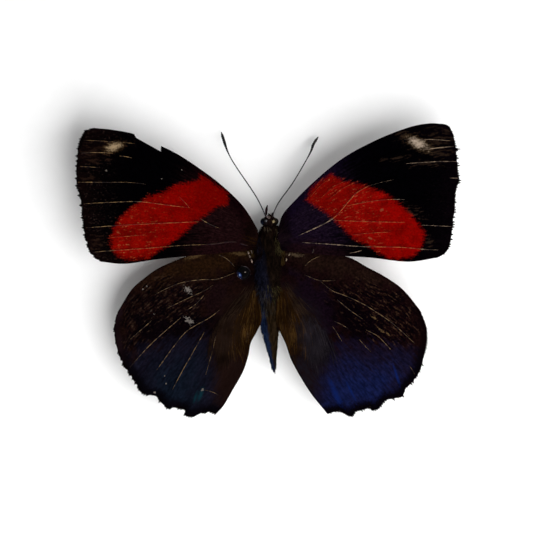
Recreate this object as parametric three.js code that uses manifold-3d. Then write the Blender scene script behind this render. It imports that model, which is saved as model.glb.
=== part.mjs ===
// A dried brush-footed butterfly, spread flat for display and resting on its legs, with the glass-headed pin
// that stands in the root of its left hindwing.
// Millimetres, +Z up, +Y towards the head, +X to the right as seen from above. The origin lies on the
// resting surface, under the middle of the spread wings.

import * as THREE from "three";
import { mergeVertices } from "three/addons/utils/BufferGeometryUtils.js";
import Module from "manifold-3d";

const wasm = await Module();
wasm.setup();

// Driving dimensions: the wings

const WING_THICKNESS = 0.3;
const CELLS_ALONG = 12;
const CELLS_ACROSS = 26;

// How each pair is set: height at the body, rise per millimetre outwards, arch of the middle of the span,
// fall per millimetre behind the body's middle, and the flutes between the veins.
const FOREWING_SET = { root: 4.9, rise: 0.045, arch: 0.45, span: 27.4, fall: 0, flutes: 5, flute: 0.1 };
const HINDWING_SET = { root: 4.15, rise: 0.02, arch: 0.3, span: 23.4, fall: 0.03, flutes: 6, flute: 0.1 };

// Wing edges seen from above. The front edge runs from the body to the tip, the outer margin from the tip to
// the hind corner, and the rear edge from the body to the hind corner.
const LEFT_FOREWING = {
  front: [[-1.5, 5.8], [-3.5, 9.3], [-7.2, 12.8], [-12, 16.2], [-15.2, 17.9], [-19, 19.5], [-22.5, 20.3],
    [-25.4, 20.5]],
  outer: [[-25.4, 20.5], [-26.8, 18.9], [-27.3, 15.5], [-27.2, 12], [-26.8, 9], [-26.3, 5.1], [-25.7, 2.8],
    [-23.9, 1.4]],
  rear: [[-1.5, 3], [-8.3, 2.3], [-15.5, 1.6], [-20.5, 0.9], [-23.9, 1.4]],
};
const RIGHT_FOREWING = {
  front: [[1.7, 6], [2.2, 7.9], [3.4, 9.4], [6.8, 12.8], [11, 16.2], [15.8, 18.8], [20.4, 20.6], [23.4, 21.2],
    [25.5, 21.1]],
  outer: [[25.5, 21.1], [26.7, 19.6], [27.2, 17.1], [27.3, 13.8], [27.1, 10.1], [26.6, 6.4], [26.1, 3.3],
    [24.6, 1.8]],
  rear: [[1.8, 2.9], [8.4, 2.2], [14.8, 1.8], [20.4, 1.2], [24.6, 1.8]],
};
const LEFT_HINDWING = {
  front: [[-1.7, 2.5], [-5, 2.9], [-9, 2.8], [-12.2, 1.8], [-15.5, 0.4], [-17.7, -1.1], [-19.7, -2.9],
    [-21.6, -6]],
  outer: [[-21.6, -6], [-22.1, -8.5], [-21.6, -11.6], [-20.5, -14.1], [-19.2, -15.9], [-18, -17.5],
    [-15.9, -18.5], [-14.6, -19.6], [-12, -20.2], [-10.8, -21.2], [-9.3, -20.6], [-7.3, -20.8]],
  rear: [[-1.7, -2.9], [-1.3, -7], [-2, -9.8], [-2.6, -12.4], [-3.5, -14.8], [-4.9, -17.3], [-7.3, -20.8]],
};
const RIGHT_HINDWING = {
  front: [[2, 2.3], [5, 2.8], [9, 2.6], [12.2, 1.7], [14.4, 0.5], [17.5, -1.2], [19.9, -3], [22.1, -5.7]],
  outer: [[22.1, -5.7], [23.1, -8.4], [23, -11.2], [22.2, -13.6], [20.8, -16], [19.6, -17.8], [17.6, -18.7],
    [16.4, -19.6], [14.2, -20.1], [12.4, -21.1], [11, -20.6], [8.7, -20.7]],
  rear: [[2, -3.2], [1.8, -7.3], [2.5, -10.3], [3.5, -13], [4.9, -15.6], [6.5, -18.1], [8.7, -20.7]],
};

// The sliver that has broken off the left forewing's front edge, from its deep end to its shallow end.
const CHIP = [[-15.2, 18.6], [-15.3, 17.1], [-19.2, 19.45], [-18.6, 21]];

// Driving dimensions: the body, front to back

const BODY_X = 0.15;
const BODY_Z = 3.5;
const THORAX_HALF_WIDTH = 1.72;
const THORAX_HALF_HEIGHT = 2.3;
// Thorax girth, as a share of the widest, against distance along the body.
const THORAX_GIRTH = [[0.7, -4.1], [0.92, -3], [1, -0.5], [1, 2], [0.92, 4.2], [0.75, 5.4], [0.55, 5.9]];
const THORAX_SIDES = 18;
const THORAX_RINGS = 12;

const HEAD_AT = [0.36, 7, 3.6];
const HEAD_HALF_SIZE = [1, 1.03, 1.1];
const EYE_RADIUS = 0.62;
const EYE_SPREAD = 0.82;
const EYE_FORWARD = 0.05;
const EYE_GAP = 0.03;

const PALP_RADIUS = 0.16;
const LEFT_PALP = [[-0.1, 8.12, 3.4], [-0.1, 8.6, 3.5], [0.05, 9.4, 4]];
const RIGHT_PALP = [[0.8, 8.1, 3.2], [0.85, 8.35, 3], [0.8, 8.45, 2.6]];

const PROBOSCIS_RADIUS = 0.1;
const PROBOSCIS_AT = [0.36, 7.5, 1.98];
const PROBOSCIS_COIL = 0.52;
const PROBOSCIS_TURNS = 1.8;

const ABDOMEN_AT = [0.2, -4.2, 3.4];
const ABDOMEN_TURN = 0.08;
const ABDOMEN_DROOP = 0.09;
// Abdomen radius against distance behind the thorax.
const ABDOMEN_GIRTH = [[1.15, 0.15], [1.34, 1.7], [1.25, 4.2], [0.88, 6.4], [0.55, 8.3], [0.27, 10.2],
  [0.1, 10.8]];
const ABDOMEN_SIDES = 16;
const ABDOMEN_RINGS = 14;

const ANTENNA_RADIUS = 0.09;
const CLUB_RADIUS = 0.2;
const LEFT_ANTENNA = [[-0.2, 8.15, 4.35], [-1.6, 10.7, 4.1], [-4.4, 14.9, 2.9], [-5.7, 17.2, 1.9],
  [-6.7, 20.2, 0.9]];
const RIGHT_ANTENNA = [[0.8, 8.1, 4.35], [1.7, 9.8, 4.2], [3.9, 12.9, 3.4], [6.2, 16.9, 1.9],
  [6.8, 18.4, 1.3], [7.5, 19.5, 0.9]];

// Legs: outward distance from the body's middle, place along the body and height, from hip to toe.
const HIP_RADIUS = 0.22;
const TOE_RADIUS = 0.11;
const FORELEG = [[0.55, 4.3, 1.35], [1, 4.9, 1.2], [0.75, 5.6, 1.5]];
const MIDLEG = [[0.75, 1.9, 1.1], [2.6, 2.6, 2.2], [4.3, 3.2, 2.9], [5.3, 3.6, 1.6], [6, 3.9, 0.3],
  [6.8, 4.2, 0.13], [8, 4.6, 0.13]];
const HINDLEG = [[0.75, -0.9, 1.1], [2.5, -2.3, 2.2], [4, -3.5, 2.9], [4.9, -4.8, 1.6], [5.4, -5.7, 0.3],
  [5.9, -6.5, 0.13], [6.6, -7.6, 0.13]];

const PIN_AT = [-3.4, -0.4];
const PIN_RADIUS = 0.25;
const PIN_HEAD_RADIUS = 0.95;
const PIN_HEAD_LIFT = 0.3;
const PIN_HOLE_CLEARANCE = 0.1;
const PIN_HEAD_GAP = 0.02;
const PIN_SIDES = 12;

// Finishes

function finish(color, roughness, metalness = 0) {
  return new THREE.MeshStandardMaterial({ color, roughness, metalness });
}
const FOREWING_SCALES = finish(0x5a0a06, 0.85);
const HINDWING_SCALES = finish(0x1c1513, 0.85);
const BODY_HAIR = finish(0x1b1512, 0.9);
const EYE_LENS = finish(0x15121a, 0.25);
const HORN = finish(0x191210, 0.6);
const PIN_GLASS = finish(0x0a0a0e, 0.05);
const PIN_STEEL = finish(0x8d9094, 0.35, 1);

const specimen = new THREE.Group();

function addPiece(name, geometry, material) {
  const piece = new THREE.Mesh(geometry, material);
  piece.name = name;
  specimen.add(piece);
  return piece;
}

// Joining and cutting

function solidFrom(geometry) {
  const bare = geometry.clone();
  bare.deleteAttribute("normal");
  bare.deleteAttribute("uv");
  const welded = mergeVertices(bare);
  const vertProperties = new Float32Array(welded.attributes.position.array);
  const triVerts = new Uint32Array(welded.index.array);
  return new wasm.Manifold(new wasm.Mesh({ numProp: 3, vertProperties, triVerts }));
}

function geometryFrom(solid) {
  const { vertProperties, triVerts } = solid.getMesh();
  const geometry = new THREE.BufferGeometry();
  geometry.setAttribute("position", new THREE.BufferAttribute(vertProperties, 3));
  geometry.setIndex(new THREE.BufferAttribute(triVerts, 1));
  geometry.computeVertexNormals();
  return geometry;
}

const cutAway = (geometry, tool) => geometryFrom(solidFrom(geometry).subtract(solidFrom(tool)));

// Wings

const edgeCurve = (points) => new THREE.SplineCurve(points.map(([x, y]) => new THREE.Vector2(x, y)));

// The wing's sheet as a patch blended between its four edges: u runs from the body to the outer margin and v
// from the front edge to the rear edge.
function wingPatch({ front, outer, rear }) {
  const frontEdge = edgeCurve(front);
  const outerEdge = edgeCurve(outer);
  const rearEdge = edgeCurve(rear);
  const [rootFront, rootRear] = [frontEdge.getPoint(0), rearEdge.getPoint(0)];
  const [tip, hindCorner] = [frontEdge.getPoint(1), rearEdge.getPoint(1)];
  return (u, v) => {
    const between = frontEdge.getPointAt(u).lerp(rearEdge.getPointAt(u), v);
    const along = rootFront.clone().lerp(rootRear, v).lerp(outerEdge.getPointAt(v), u);
    const corners = rootFront.clone().lerp(rootRear, v).lerp(tip.clone().lerp(hindCorner, v), u);
    return between.add(along).sub(corners);
  };
}

function wingHeight(set, place, u, v) {
  const reach = Math.abs(place.x);
  const arch = set.arch * Math.sin(Math.PI * Math.min(1, reach / set.span));
  const fall = set.fall * Math.max(0, -place.y);
  const flute = set.flute * u * Math.cos(2 * Math.PI * set.flutes * v);
  return set.root + set.rise * reach + arch - fall + flute;
}

// A thin slab laid on the patch. A left wing runs towards -X, so its slab is turned over front to back.
function wing(edges, set) {
  const patch = wingPatch(edges);
  const isLeft = edges.outer[0][0] < 0;
  const slab = new THREE.BoxGeometry(1, 1, 1, CELLS_ALONG, CELLS_ACROSS, 1);
  const corner = slab.attributes.position;
  for (let i = 0; i < corner.count; i += 1) {
    const u = corner.getX(i) + 0.5;
    const v = isLeft ? corner.getY(i) + 0.5 : 0.5 - corner.getY(i);
    const place = patch(u, v);
    const height = wingHeight(set, place, u, v) + corner.getZ(i) * WING_THICKNESS;
    corner.setXYZ(i, place.x, place.y, height);
  }
  slab.computeVertexNormals();
  return slab;
}

// Cutters for the broken front edge and the pin's hole, tall enough to pass right through a wing
const CUT_HEIGHT = 20;
const chipShape = new THREE.Shape(CHIP.map(([x, y]) => new THREE.Vector2(x, y)));
const chip = new THREE.ExtrudeGeometry(chipShape, { depth: CUT_HEIGHT, bevelEnabled: false });
const holeRadius = PIN_RADIUS + PIN_HOLE_CLEARANCE;
const pinHole = new THREE.CylinderGeometry(holeRadius, holeRadius, CUT_HEIGHT, PIN_SIDES)
  .rotateX(Math.PI / 2)
  .translate(PIN_AT[0], PIN_AT[1], 0);

addPiece("left_forewing", cutAway(wing(LEFT_FOREWING, FOREWING_SET), chip), FOREWING_SCALES);
addPiece("right_forewing", wing(RIGHT_FOREWING, FOREWING_SET), FOREWING_SCALES);
addPiece("left_hindwing", cutAway(wing(LEFT_HINDWING, HINDWING_SET), pinHole), HINDWING_SCALES);
addPiece("right_hindwing", wing(RIGHT_HINDWING, HINDWING_SET), HINDWING_SCALES);

// Thorax and abdomen

// A body section turned about the Y axis from its girth, given as radius against distance along the body.
function turnedBody(girth, rings, sides) {
  const profile = edgeCurve(girth).getSpacedPoints(rings);
  const [tail, nose] = [profile[0], profile[rings]];
  const closed = [new THREE.Vector2(0, tail.y), ...profile, new THREE.Vector2(0, nose.y)];
  return new THREE.LatheGeometry(closed, sides);
}

const thorax = turnedBody(THORAX_GIRTH, THORAX_RINGS, THORAX_SIDES)
  .scale(THORAX_HALF_WIDTH, 1, THORAX_HALF_HEIGHT);
addPiece("thorax", thorax, BODY_HAIR).position.set(BODY_X, 0, BODY_Z);

const tailFirst = ABDOMEN_GIRTH.map(([radius, behind]) => [radius, -behind]).reverse();
const abdomen = addPiece("abdomen", turnedBody(tailFirst, ABDOMEN_RINGS, ABDOMEN_SIDES), BODY_HAIR);
abdomen.position.set(...ABDOMEN_AT);
abdomen.rotation.set(ABDOMEN_DROOP, 0, ABDOMEN_TURN);

// Head, with a socket for each eye

const headBall = new THREE.SphereGeometry(1, 14, 10).scale(...HEAD_HALF_SIZE).translate(...HEAD_AT);
const eyeAt = (side) => [HEAD_AT[0] + side * EYE_SPREAD, HEAD_AT[1] + EYE_FORWARD, HEAD_AT[2]];
const eyeBall = (side, radius) => new THREE.SphereGeometry(radius, 12, 8).translate(...eyeAt(side));
const leftSocket = solidFrom(eyeBall(-1, EYE_RADIUS + EYE_GAP));
const rightSocket = solidFrom(eyeBall(1, EYE_RADIUS + EYE_GAP));

addPiece("head", geometryFrom(solidFrom(headBall).subtract(leftSocket).subtract(rightSocket)), BODY_HAIR);
addPiece("left_eye", eyeBall(-1, EYE_RADIUS), EYE_LENS);
addPiece("right_eye", eyeBall(1, EYE_RADIUS), EYE_LENS);

// Feelers and limbs

// Thickness along a limb, from stops of [share of its length, radius].
function radiusAt(stops, share) {
  const next = Math.max(1, stops.findIndex(([stop]) => stop >= share));
  const [[startShare, startRadius], [endShare, endRadius]] = [stops[next - 1], stops[next]];
  return THREE.MathUtils.mapLinear(share, startShare, endShare, startRadius, endRadius);
}

// A capped round rod bent along a curve through the points.
function bentRod(points, stops, steps, sides) {
  const path = new THREE.CatmullRomCurve3(points.map((point) => new THREE.Vector3(...point)));
  const { normals, binormals } = path.computeFrenetFrames(steps);
  const rod = new THREE.CylinderGeometry(1, 1, 1, sides, steps);
  const corner = rod.attributes.position;
  for (let i = 0; i < corner.count; i += 1) {
    const step = Math.round((corner.getY(i) + 0.5) * steps);
    const radius = radiusAt(stops, step / steps);
    const place = path.getPointAt(step / steps)
      .addScaledVector(normals[step], radius * corner.getX(i))
      .addScaledVector(binormals[step], -radius * corner.getZ(i));
    corner.setXYZ(i, place.x, place.y, place.z);
  }
  rod.computeVertexNormals();
  return rod;
}

const ANTENNA_STOPS = [[0, ANTENNA_RADIUS], [0.78, ANTENNA_RADIUS], [0.93, CLUB_RADIUS], [1, ANTENNA_RADIUS]];
addPiece("left_antenna", bentRod(LEFT_ANTENNA, ANTENNA_STOPS, 16, 6), HORN);
addPiece("right_antenna", bentRod(RIGHT_ANTENNA, ANTENNA_STOPS, 16, 6), HORN);

const PALP_STOPS = [[0, PALP_RADIUS], [0.6, PALP_RADIUS * 1.2], [1, PALP_RADIUS * 0.4]];
addPiece("left_palp", bentRod(LEFT_PALP, PALP_STOPS, 5, 6), BODY_HAIR);
addPiece("right_palp", bentRod(RIGHT_PALP, PALP_STOPS, 5, 6), BODY_HAIR);

// The coiled tongue hangs edge-on under the head.
const coilPoints = [];
const COIL_POINTS = 13;
for (let i = 0; i < COIL_POINTS; i += 1) {
  const share = i / (COIL_POINTS - 1);
  const angle = Math.PI / 2 + share * PROBOSCIS_TURNS * 2 * Math.PI;
  const reach = PROBOSCIS_COIL * (1 - 0.7 * share);
  const [x, y, z] = PROBOSCIS_AT;
  coilPoints.push([x, y - reach * Math.cos(angle), z + reach * Math.sin(angle)]);
}
addPiece("proboscis", bentRod(coilPoints, [[0, PROBOSCIS_RADIUS], [1, PROBOSCIS_RADIUS * 0.6]], 22, 5), HORN);

const LEG_STOPS = [[0, HIP_RADIUS], [0.45, HIP_RADIUS * 0.9], [0.7, TOE_RADIUS * 1.3], [1, TOE_RADIUS]];
for (const [name, side] of [["left", -1], ["right", 1]]) {
  const leg = (points) => points.map(([out, along, up]) => [BODY_X + side * out, along, up]);
  addPiece(`${name}_foreleg`, bentRod(leg(FORELEG), LEG_STOPS, 6, 6), BODY_HAIR);
  addPiece(`${name}_midleg`, bentRod(leg(MIDLEG), LEG_STOPS, 14, 6), HORN);
  addPiece(`${name}_hindleg`, bentRod(leg(HINDLEG), LEG_STOPS, 14, 6), HORN);
}

// The pin, cut off flush below, with its ball head just over the wing

const pinPlace = new THREE.Vector2(...PIN_AT);
const wingTop = wingHeight(HINDWING_SET, pinPlace, 0, 0) + WING_THICKNESS / 2;
const headHeight = wingTop + PIN_HEAD_LIFT + PIN_HEAD_RADIUS;
const shaftTop = headHeight - PIN_HEAD_RADIUS - PIN_HEAD_GAP;

const shaft = new THREE.CylinderGeometry(PIN_RADIUS, PIN_RADIUS, shaftTop, PIN_SIDES).rotateX(Math.PI / 2);
addPiece("pin_shaft", shaft, PIN_STEEL).position.set(...PIN_AT, shaftTop / 2);
const pinBall = new THREE.SphereGeometry(PIN_HEAD_RADIUS, 16, 10).rotateX(Math.PI / 2);
addPiece("pin_head", pinBall, PIN_GLASS).position.set(...PIN_AT, headHeight);

export default specimen;
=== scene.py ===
import math
import random

import bmesh
import bpy
import numpy as np
from mathutils import Matrix, Vector
from mathutils.bvhtree import BVHTree


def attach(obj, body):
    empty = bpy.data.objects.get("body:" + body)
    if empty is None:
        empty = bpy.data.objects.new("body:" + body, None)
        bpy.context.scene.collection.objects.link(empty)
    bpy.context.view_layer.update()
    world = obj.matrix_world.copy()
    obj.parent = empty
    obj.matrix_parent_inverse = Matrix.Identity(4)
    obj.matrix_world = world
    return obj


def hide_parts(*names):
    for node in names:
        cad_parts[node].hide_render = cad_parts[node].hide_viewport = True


# A dried brush-footed butterfly, spread flat, with the glass-headed pin that stands in its left hindwing.
# Sizes are in millimetres, seen from above with the head towards +Y, and each finished piece is scaled to
# metres. The insect is put together body first, then its limbs, its wings and the pin.
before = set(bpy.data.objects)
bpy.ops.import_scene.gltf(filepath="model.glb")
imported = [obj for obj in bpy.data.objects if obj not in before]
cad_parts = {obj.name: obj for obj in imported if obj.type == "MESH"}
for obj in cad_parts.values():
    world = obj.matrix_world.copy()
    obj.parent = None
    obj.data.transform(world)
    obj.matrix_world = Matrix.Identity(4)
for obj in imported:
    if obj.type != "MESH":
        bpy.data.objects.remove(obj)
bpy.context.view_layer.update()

# Thorax: the barrel that carries the legs and wings, a turned shell of hard plates with a shoulder shield
# over each wing root, two lobes at the collar, and small pale plates and tufts beside it. Its thick coat of
# hair lies back along the body, umber, with the blue-black of its left flank painted for the cool light from
# the left.
MM = 0.001
BODY_X = 0.15
BODY_Z = 3.5
THORAX_HALF_WIDTH = 1.72
THORAX_HALF_HEIGHT = 2.3
THORAX_GIRTH = [(0.7, -4.1), (0.92, -3), (1, -0.5), (1, 2), (0.92, 4.2), (0.75, 5.4), (0.55, 5.9)]
THORAX_RINGS = 60
THORAX_SIDES = 56
PLATE_JOINTS = (4.7, -1.6, -3.1)
JOINT_DEPTH = 0.09
JOINT_WIDTH = 0.2
MIDLINE_DEPTH = 0.05
MIDLINE_WIDTH = 0.1
SHIELD_AT = (1.2, 3.5, 1.45)
SHIELD_HALF_SIZE = (0.5, 1.4, 0.42)
SHIELD_TURN = 0.14
COLLAR_AT = ((-0.2, 6, 0.75), (1.15, 5.95, 0.75))
COLLAR_HALF_SIZE = (0.78, 0.55, 0.6)
COLLAR_SPOTS = ((-0.16, 6.1), (0.36, 5.95), (1.42, 5.87))
COLLAR_SPOT_RADIUS = 0.26
ROOT_PLATE_RADIUS = 0.12
ROOT_PLATE_STEPS = 9
ROOT_PLATES = (
    ((-2.8, 2.75, 4.5), (-2.7, 2.5, 4.62), (-2.62, 2.3, 4.5)),
    ((-2.6, 2.2, 4.5), (-2.5, 2, 4.6), (-2.45, 1.75, 4.5)),
    ((-2.35, 2.9, 4.55), (-2.2, 2.6, 4.65), (-2.15, 2.4, 4.55)),
    ((-2.35, 1.6, 4.5), (-2.2, 1.3, 4.62), (-2.15, 1, 4.5)),
    ((2.8, 1.75, 4.5), (2.82, 1.5, 4.6), (2.75, 1.25, 4.5)),
    ((3.3, 2.4, 4.4), (3.25, 2.25, 4.5), (3.15, 2.1, 4.4)),
)
# Tufts at the wing roots, as place, half width and half length.
ROOT_TUFTS = ((2.35, 2.8, 0.3, 0.5), (2.3, 1.6, 0.25, 0.5), (-2.1, 2.6, 0.2, 0.35), (-2.7, 2.9, 0.3, 0.3))
ROOT_TUFT_HAIRS = 36
ROOT_TUFT_Z = 4.45
LINE_STEPS = 40
MERGE_GAP = 1e-4
HAIR_SHARES = (0, 0.3, 0.65, 1)
HAIR_TAPER = (1, 0.9, 0.6, 0.12)
HAIR_BEND = 0.6
THORAX_HAIRS = 3000
THORAX_HAIR_RADIUS = 0.035
THORAX_HAIR_LENGTH = (0.6, 1.25)
THORAX_HAIR_RISE = 0.45
THORAX_HAIR_SPREAD = 0.25
SHOULDER_X = 1.2
SHOULDER_Y = (2.6, 4.9)
REAR_HAIR_END = -2
REAR_HAIR_SHARE = 0.6
COLLAR_HAIR_START = 5.2
LEFT_RUST_CORNER = (-0.6, 1.8)


def smooth_line(points):
    """Gives the place at any share of the length of a smooth line through the points."""
    ends = np.array([points[0], *points, points[-1]], float)
    step = np.linspace(0, 1, LINE_STEPS)[:, None]
    runs = []
    for before, start, end, after in zip(ends, ends[1:], ends[2:], ends[3:]):
        bend = 2 * before - 5 * start + 4 * end - after
        twist = 3 * start - before - 3 * end + after
        runs.append(start + (step * (end - before) + step**2 * bend + step**3 * twist) / 2)
    line = np.vstack(runs)
    travel = np.append(0, np.cumsum(np.linalg.norm(np.diff(line, axis=0), axis=1)))
    travel /= travel[-1]
    return lambda share: np.stack([np.interp(share, travel, axis) for axis in line.T], axis=-1)


def spun_shell(profile, axis, sides):
    """A closed shell spun about an axis from the places along its profile."""
    shell = bmesh.new()
    corners = [shell.verts.new(place) for place in profile]
    edges = [shell.edges.new(pair) for pair in zip(corners, corners[1:])]
    bmesh.ops.spin(shell, geom=corners + edges, axis=axis, angle=2 * math.pi, steps=sides, use_merge=True)
    bmesh.ops.remove_doubles(shell, verts=shell.verts, dist=MERGE_GAP)
    bmesh.ops.recalc_face_normals(shell, faces=shell.faces)
    return shell


def turned_shell(girth, rings, sides):
    """A shell spun about the Y axis from its radius at distances along the body."""
    profile = smooth_line(girth)(np.linspace(0, 1, rings))
    profile = [(0, profile[0][1]), *profile, (0, profile[-1][1])]
    return spun_shell([(radius, along, 0) for radius, along in profile], (0, 1, 0), sides)


def add_lobe(shape, place, half_size, turn=0):
    """Adds an oval lobe of a half size to a shape, turned about the upright axis."""
    matrix = Matrix.Translation(place) @ Matrix.Rotation(turn, 4, "Z") @ Matrix.Diagonal((*half_size, 1))
    bmesh.ops.create_uvsphere(shape, u_segments=24, v_segments=16, radius=1, matrix=matrix)


def dent(distance, depth, width):
    """How deep a pressed joint or fold is at a distance from its middle."""
    return depth * math.exp(-((distance / width) ** 2))


def show_piece(name, mesh):
    """Puts a smooth mesh in the scene as an object of its own."""
    mesh.shade_smooth()
    shown = bpy.data.objects.new(name, mesh)
    bpy.context.scene.collection.objects.link(shown)
    return shown


def mesh_piece(name, shape, *finishes):
    """Turns a shape in millimetres into an object in metres with its finishes."""
    bmesh.ops.scale(shape, vec=(MM, MM, MM), verts=shape.verts)
    mesh = bpy.data.meshes.new(name)
    shape.to_mesh(mesh)
    shape.free()
    for finish in finishes:
        mesh.materials.append(finish)
    return show_piece(name, mesh)


def strand_piece(name, strands, finishes, roundness=0):
    """Joins tapered strands in one mesh. A strand is its places, their radii and the number of its finish."""
    curve = bpy.data.curves.new(name, "CURVE")
    curve.dimensions = "3D"
    curve.bevel_depth = MM
    curve.bevel_resolution = roundness
    curve.use_fill_caps = True
    for finish in finishes:
        curve.materials.append(finish)
    for places, radii, number in strands:
        spline = curve.splines.new("POLY")
        spline.points.add(len(places) - 1)
        for point, place, radius in zip(spline.points, places, radii):
            point.co = (place[0] * MM, place[1] * MM, place[2] * MM, 1)
            point.radius = radius
        spline.material_index = number
    holder = bpy.data.objects.new(name, curve)
    bpy.context.scene.collection.objects.link(holder)
    mesh = bpy.data.meshes.new_from_object(holder.evaluated_get(bpy.context.evaluated_depsgraph_get()))
    bpy.data.objects.remove(holder)
    bpy.data.curves.remove(curve)
    return show_piece(name, mesh)


def skin_places(shape, count, chance):
    """Random places on a shape, spread by area, with the way the skin faces at each."""
    shape.normal_update()
    shape.verts.index_update()
    patches = []
    for face in shape.faces:
        corners = list(face.verts)
        lowest = min(range(len(corners)), key=lambda number: corners[number].index)
        first, *others = corners[lowest:] + corners[:lowest]
        patches += [(first, second, third, face.normal) for second, third in zip(others, others[1:])]
    # Blender may list a shape's faces in any order, so the patches are drawn in the order of their corners.
    patches.sort(key=lambda patch: [corner.index for corner in patch[:3]])
    areas = [(second.co - first.co).cross(third.co - first.co).length for first, second, third, _ in patches]
    for first, second, third, facing in chance.choices(patches, areas, k=count):
        low, high = sorted((chance.random(), chance.random()))
        yield first.co * low + second.co * (high - low) + third.co * (1 - high), facing


def lying_hair(root, out, lay):
    """Places along a hair that leaves the skin along out and bends over to lie along lay."""
    return [root + share * (1 - HAIR_BEND * share) * out + share * (1 - HAIR_BEND + HAIR_BEND * share) * lay
            for share in HAIR_SHARES]


def hair_radii(radius):
    """The thickness of a hair of that radius from root to tip."""
    return [radius * taper for taper in HAIR_TAPER]


def add_node(tree, kind, inputs=(), **settings):
    """Adds a node with its settings, each input linked to a socket or set to a value."""
    node = tree.nodes.new(kind)
    for key, value in settings.items():
        setattr(node, key, value)
    for key, value in dict(inputs).items():
        if isinstance(value, bpy.types.NodeSocket):
            tree.links.new(value, node.inputs[key])
        else:
            node.inputs[key].default_value = value
    return node


def mixed(tree, share, low, high, way="MIX"):
    """The colour between two colours at a share."""
    inputs = {0: share, 6: low, 7: high}
    return add_node(tree, "ShaderNodeMix", inputs, data_type="RGBA", blend_type=way).outputs[2]


def toned(tree, colour, tone, share=1):
    """A colour made lighter or darker by a tone, wholly or by a share."""
    return mixed(tree, share, colour, tone, "MULTIPLY")


def eased(tree, value, start, end, low=0, high=1):
    """A value eased from low to high as another goes from start to end."""
    inputs = {0: value, 1: start, 2: end, 3: low, 4: high}
    return add_node(tree, "ShaderNodeMapRange", inputs, interpolation_type="SMOOTHSTEP").outputs[0]


def laid(tree, under, over, value, start, end):
    """A colour laid over another as a value goes from start to end."""
    return mixed(tree, eased(tree, value, start, end), under, over)


def worked(tree, operation, first, second, third=0):
    """The result of a sum on two or three values."""
    inputs = {0: first, 1: second, 2: third}
    return add_node(tree, "ShaderNodeMath", inputs, operation=operation).outputs[0]


def worked_places(tree, operation, first, second):
    """The results of a sum on two places."""
    return add_node(tree, "ShaderNodeVectorMath", {0: first, 1: second}, operation=operation).outputs


def cloudy(tree, size, detail=3, place=None):
    """Soft clouds from 0 to 1 with lumps of a size in millimetres, on the piece's own coordinates."""
    place = place or add_node(tree, "ShaderNodeTexCoord").outputs["Object"]
    inputs = {"Vector": place, "Scale": 1 / (size * MM), "Detail": detail}
    noise = add_node(tree, "ShaderNodeTexNoise", inputs).outputs[0]
    return add_node(tree, "ShaderNodeMapRange", {0: noise, 1: 0.3, 2: 0.7}).outputs[0]


def blotched(tree, size, start, end, dark, pale):
    """A colour in dark and pale blotches of a size in millimetres."""
    return laid(tree, (*dark, 1), (*pale, 1), cloudy(tree, size), start, end)


def new_group(name, inputs, outputs):
    """A node group with named sockets, and its two end nodes."""
    group = bpy.data.node_groups.new(name, "ShaderNodeTree")
    for way, sockets in (("INPUT", inputs), ("OUTPUT", outputs)):
        for socket, kind in sockets.items():
            group.interface.new_socket(name=socket, in_out=way, socket_type=kind)
    return group, group.nodes.new("NodeGroupInput").outputs, group.nodes.new("NodeGroupOutput").inputs


def new_finish(name, roughness, specular):
    """A finish with its node tree and the inputs of its shader."""
    finish = bpy.data.materials.new(name)
    finish.use_nodes = True
    sockets = finish.node_tree.nodes["Principled BSDF"].inputs
    sockets["Roughness"].default_value = roughness
    sockets["Specular IOR Level"].default_value = specular
    return finish, finish.node_tree, sockets


def add_relief(tree, sockets, height, depth, strength, invert=False):
    """Roughens a finish with a relief of a depth in millimetres."""
    inputs = {"Height": height, "Distance": depth * MM, "Strength": strength}
    bump = add_node(tree, "ShaderNodeBump", inputs, invert=invert)
    tree.links.new(bump.outputs[0], sockets["Normal"])


# The coat's colour runs from the left flank's to the right flank's, with lighter and darker locks.
# On the thorax, abdomen and head the left flank's blue and slate are painted cool light from the left.
COLOUR, NUMBER = "NodeSocketColor", "NodeSocketFloat"
LOCK_WIDTH = 0.3
LOCK_SHARE = 0.2
flank_shades, flank_in, flank_out = new_group(
    "flank_shades", {"Left": COLOUR, "Right": COLOUR, "Middle": NUMBER, "Spread": NUMBER, "Lean": NUMBER},
    {"Colour": COLOUR})
flank_place = add_node(flank_shades, "ShaderNodeTexCoord").outputs["Object"]
flank_across, flank_along, _ = add_node(flank_shades, "ShaderNodeSeparateXYZ", {0: flank_place}).outputs
flank_run = worked_places(flank_shades, "MULTIPLY", flank_place, (1, LOCK_SHARE, 1))[0]
flank_cloud = cloudy(flank_shades, LOCK_WIDTH, 3, flank_run)
flank_shift = worked(flank_shades, "MULTIPLY_ADD", flank_along, flank_in["Lean"], flank_across)
flank_shift = worked(flank_shades, "MULTIPLY_ADD", flank_cloud, flank_in["Spread"], flank_shift)
flank_end = worked(flank_shades, "ADD", flank_in["Middle"], flank_in["Spread"])
flank_base = laid(flank_shades, flank_in["Left"], flank_in["Right"], flank_shift, flank_in["Middle"],
                  flank_end)
flank_tone = eased(flank_shades, flank_cloud, 0.1, 0.9, 0.4, 1.8)
flank_shades.links.new(toned(flank_shades, flank_base, flank_tone), flank_out["Colour"])


def coat_finish(name, left, right, middle, spread, lean=0):
    """A hairy or scaly coat shaded from one flank to the other, about a middle line that may lean."""
    finish, tree, sockets = new_finish(name, 0.8, 0)
    inputs = {"Left": (*left, 1), "Right": (*right, 1), "Middle": middle * MM, "Spread": spread * MM,
              "Lean": lean}
    shades = add_node(tree, "ShaderNodeGroup", inputs, node_tree=flank_shades)
    tree.links.new(shades.outputs["Colour"], sockets["Base Color"])
    add_relief(tree, sockets, cloudy(tree, 0.08), 0.04, 0.6)
    return finish


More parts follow.
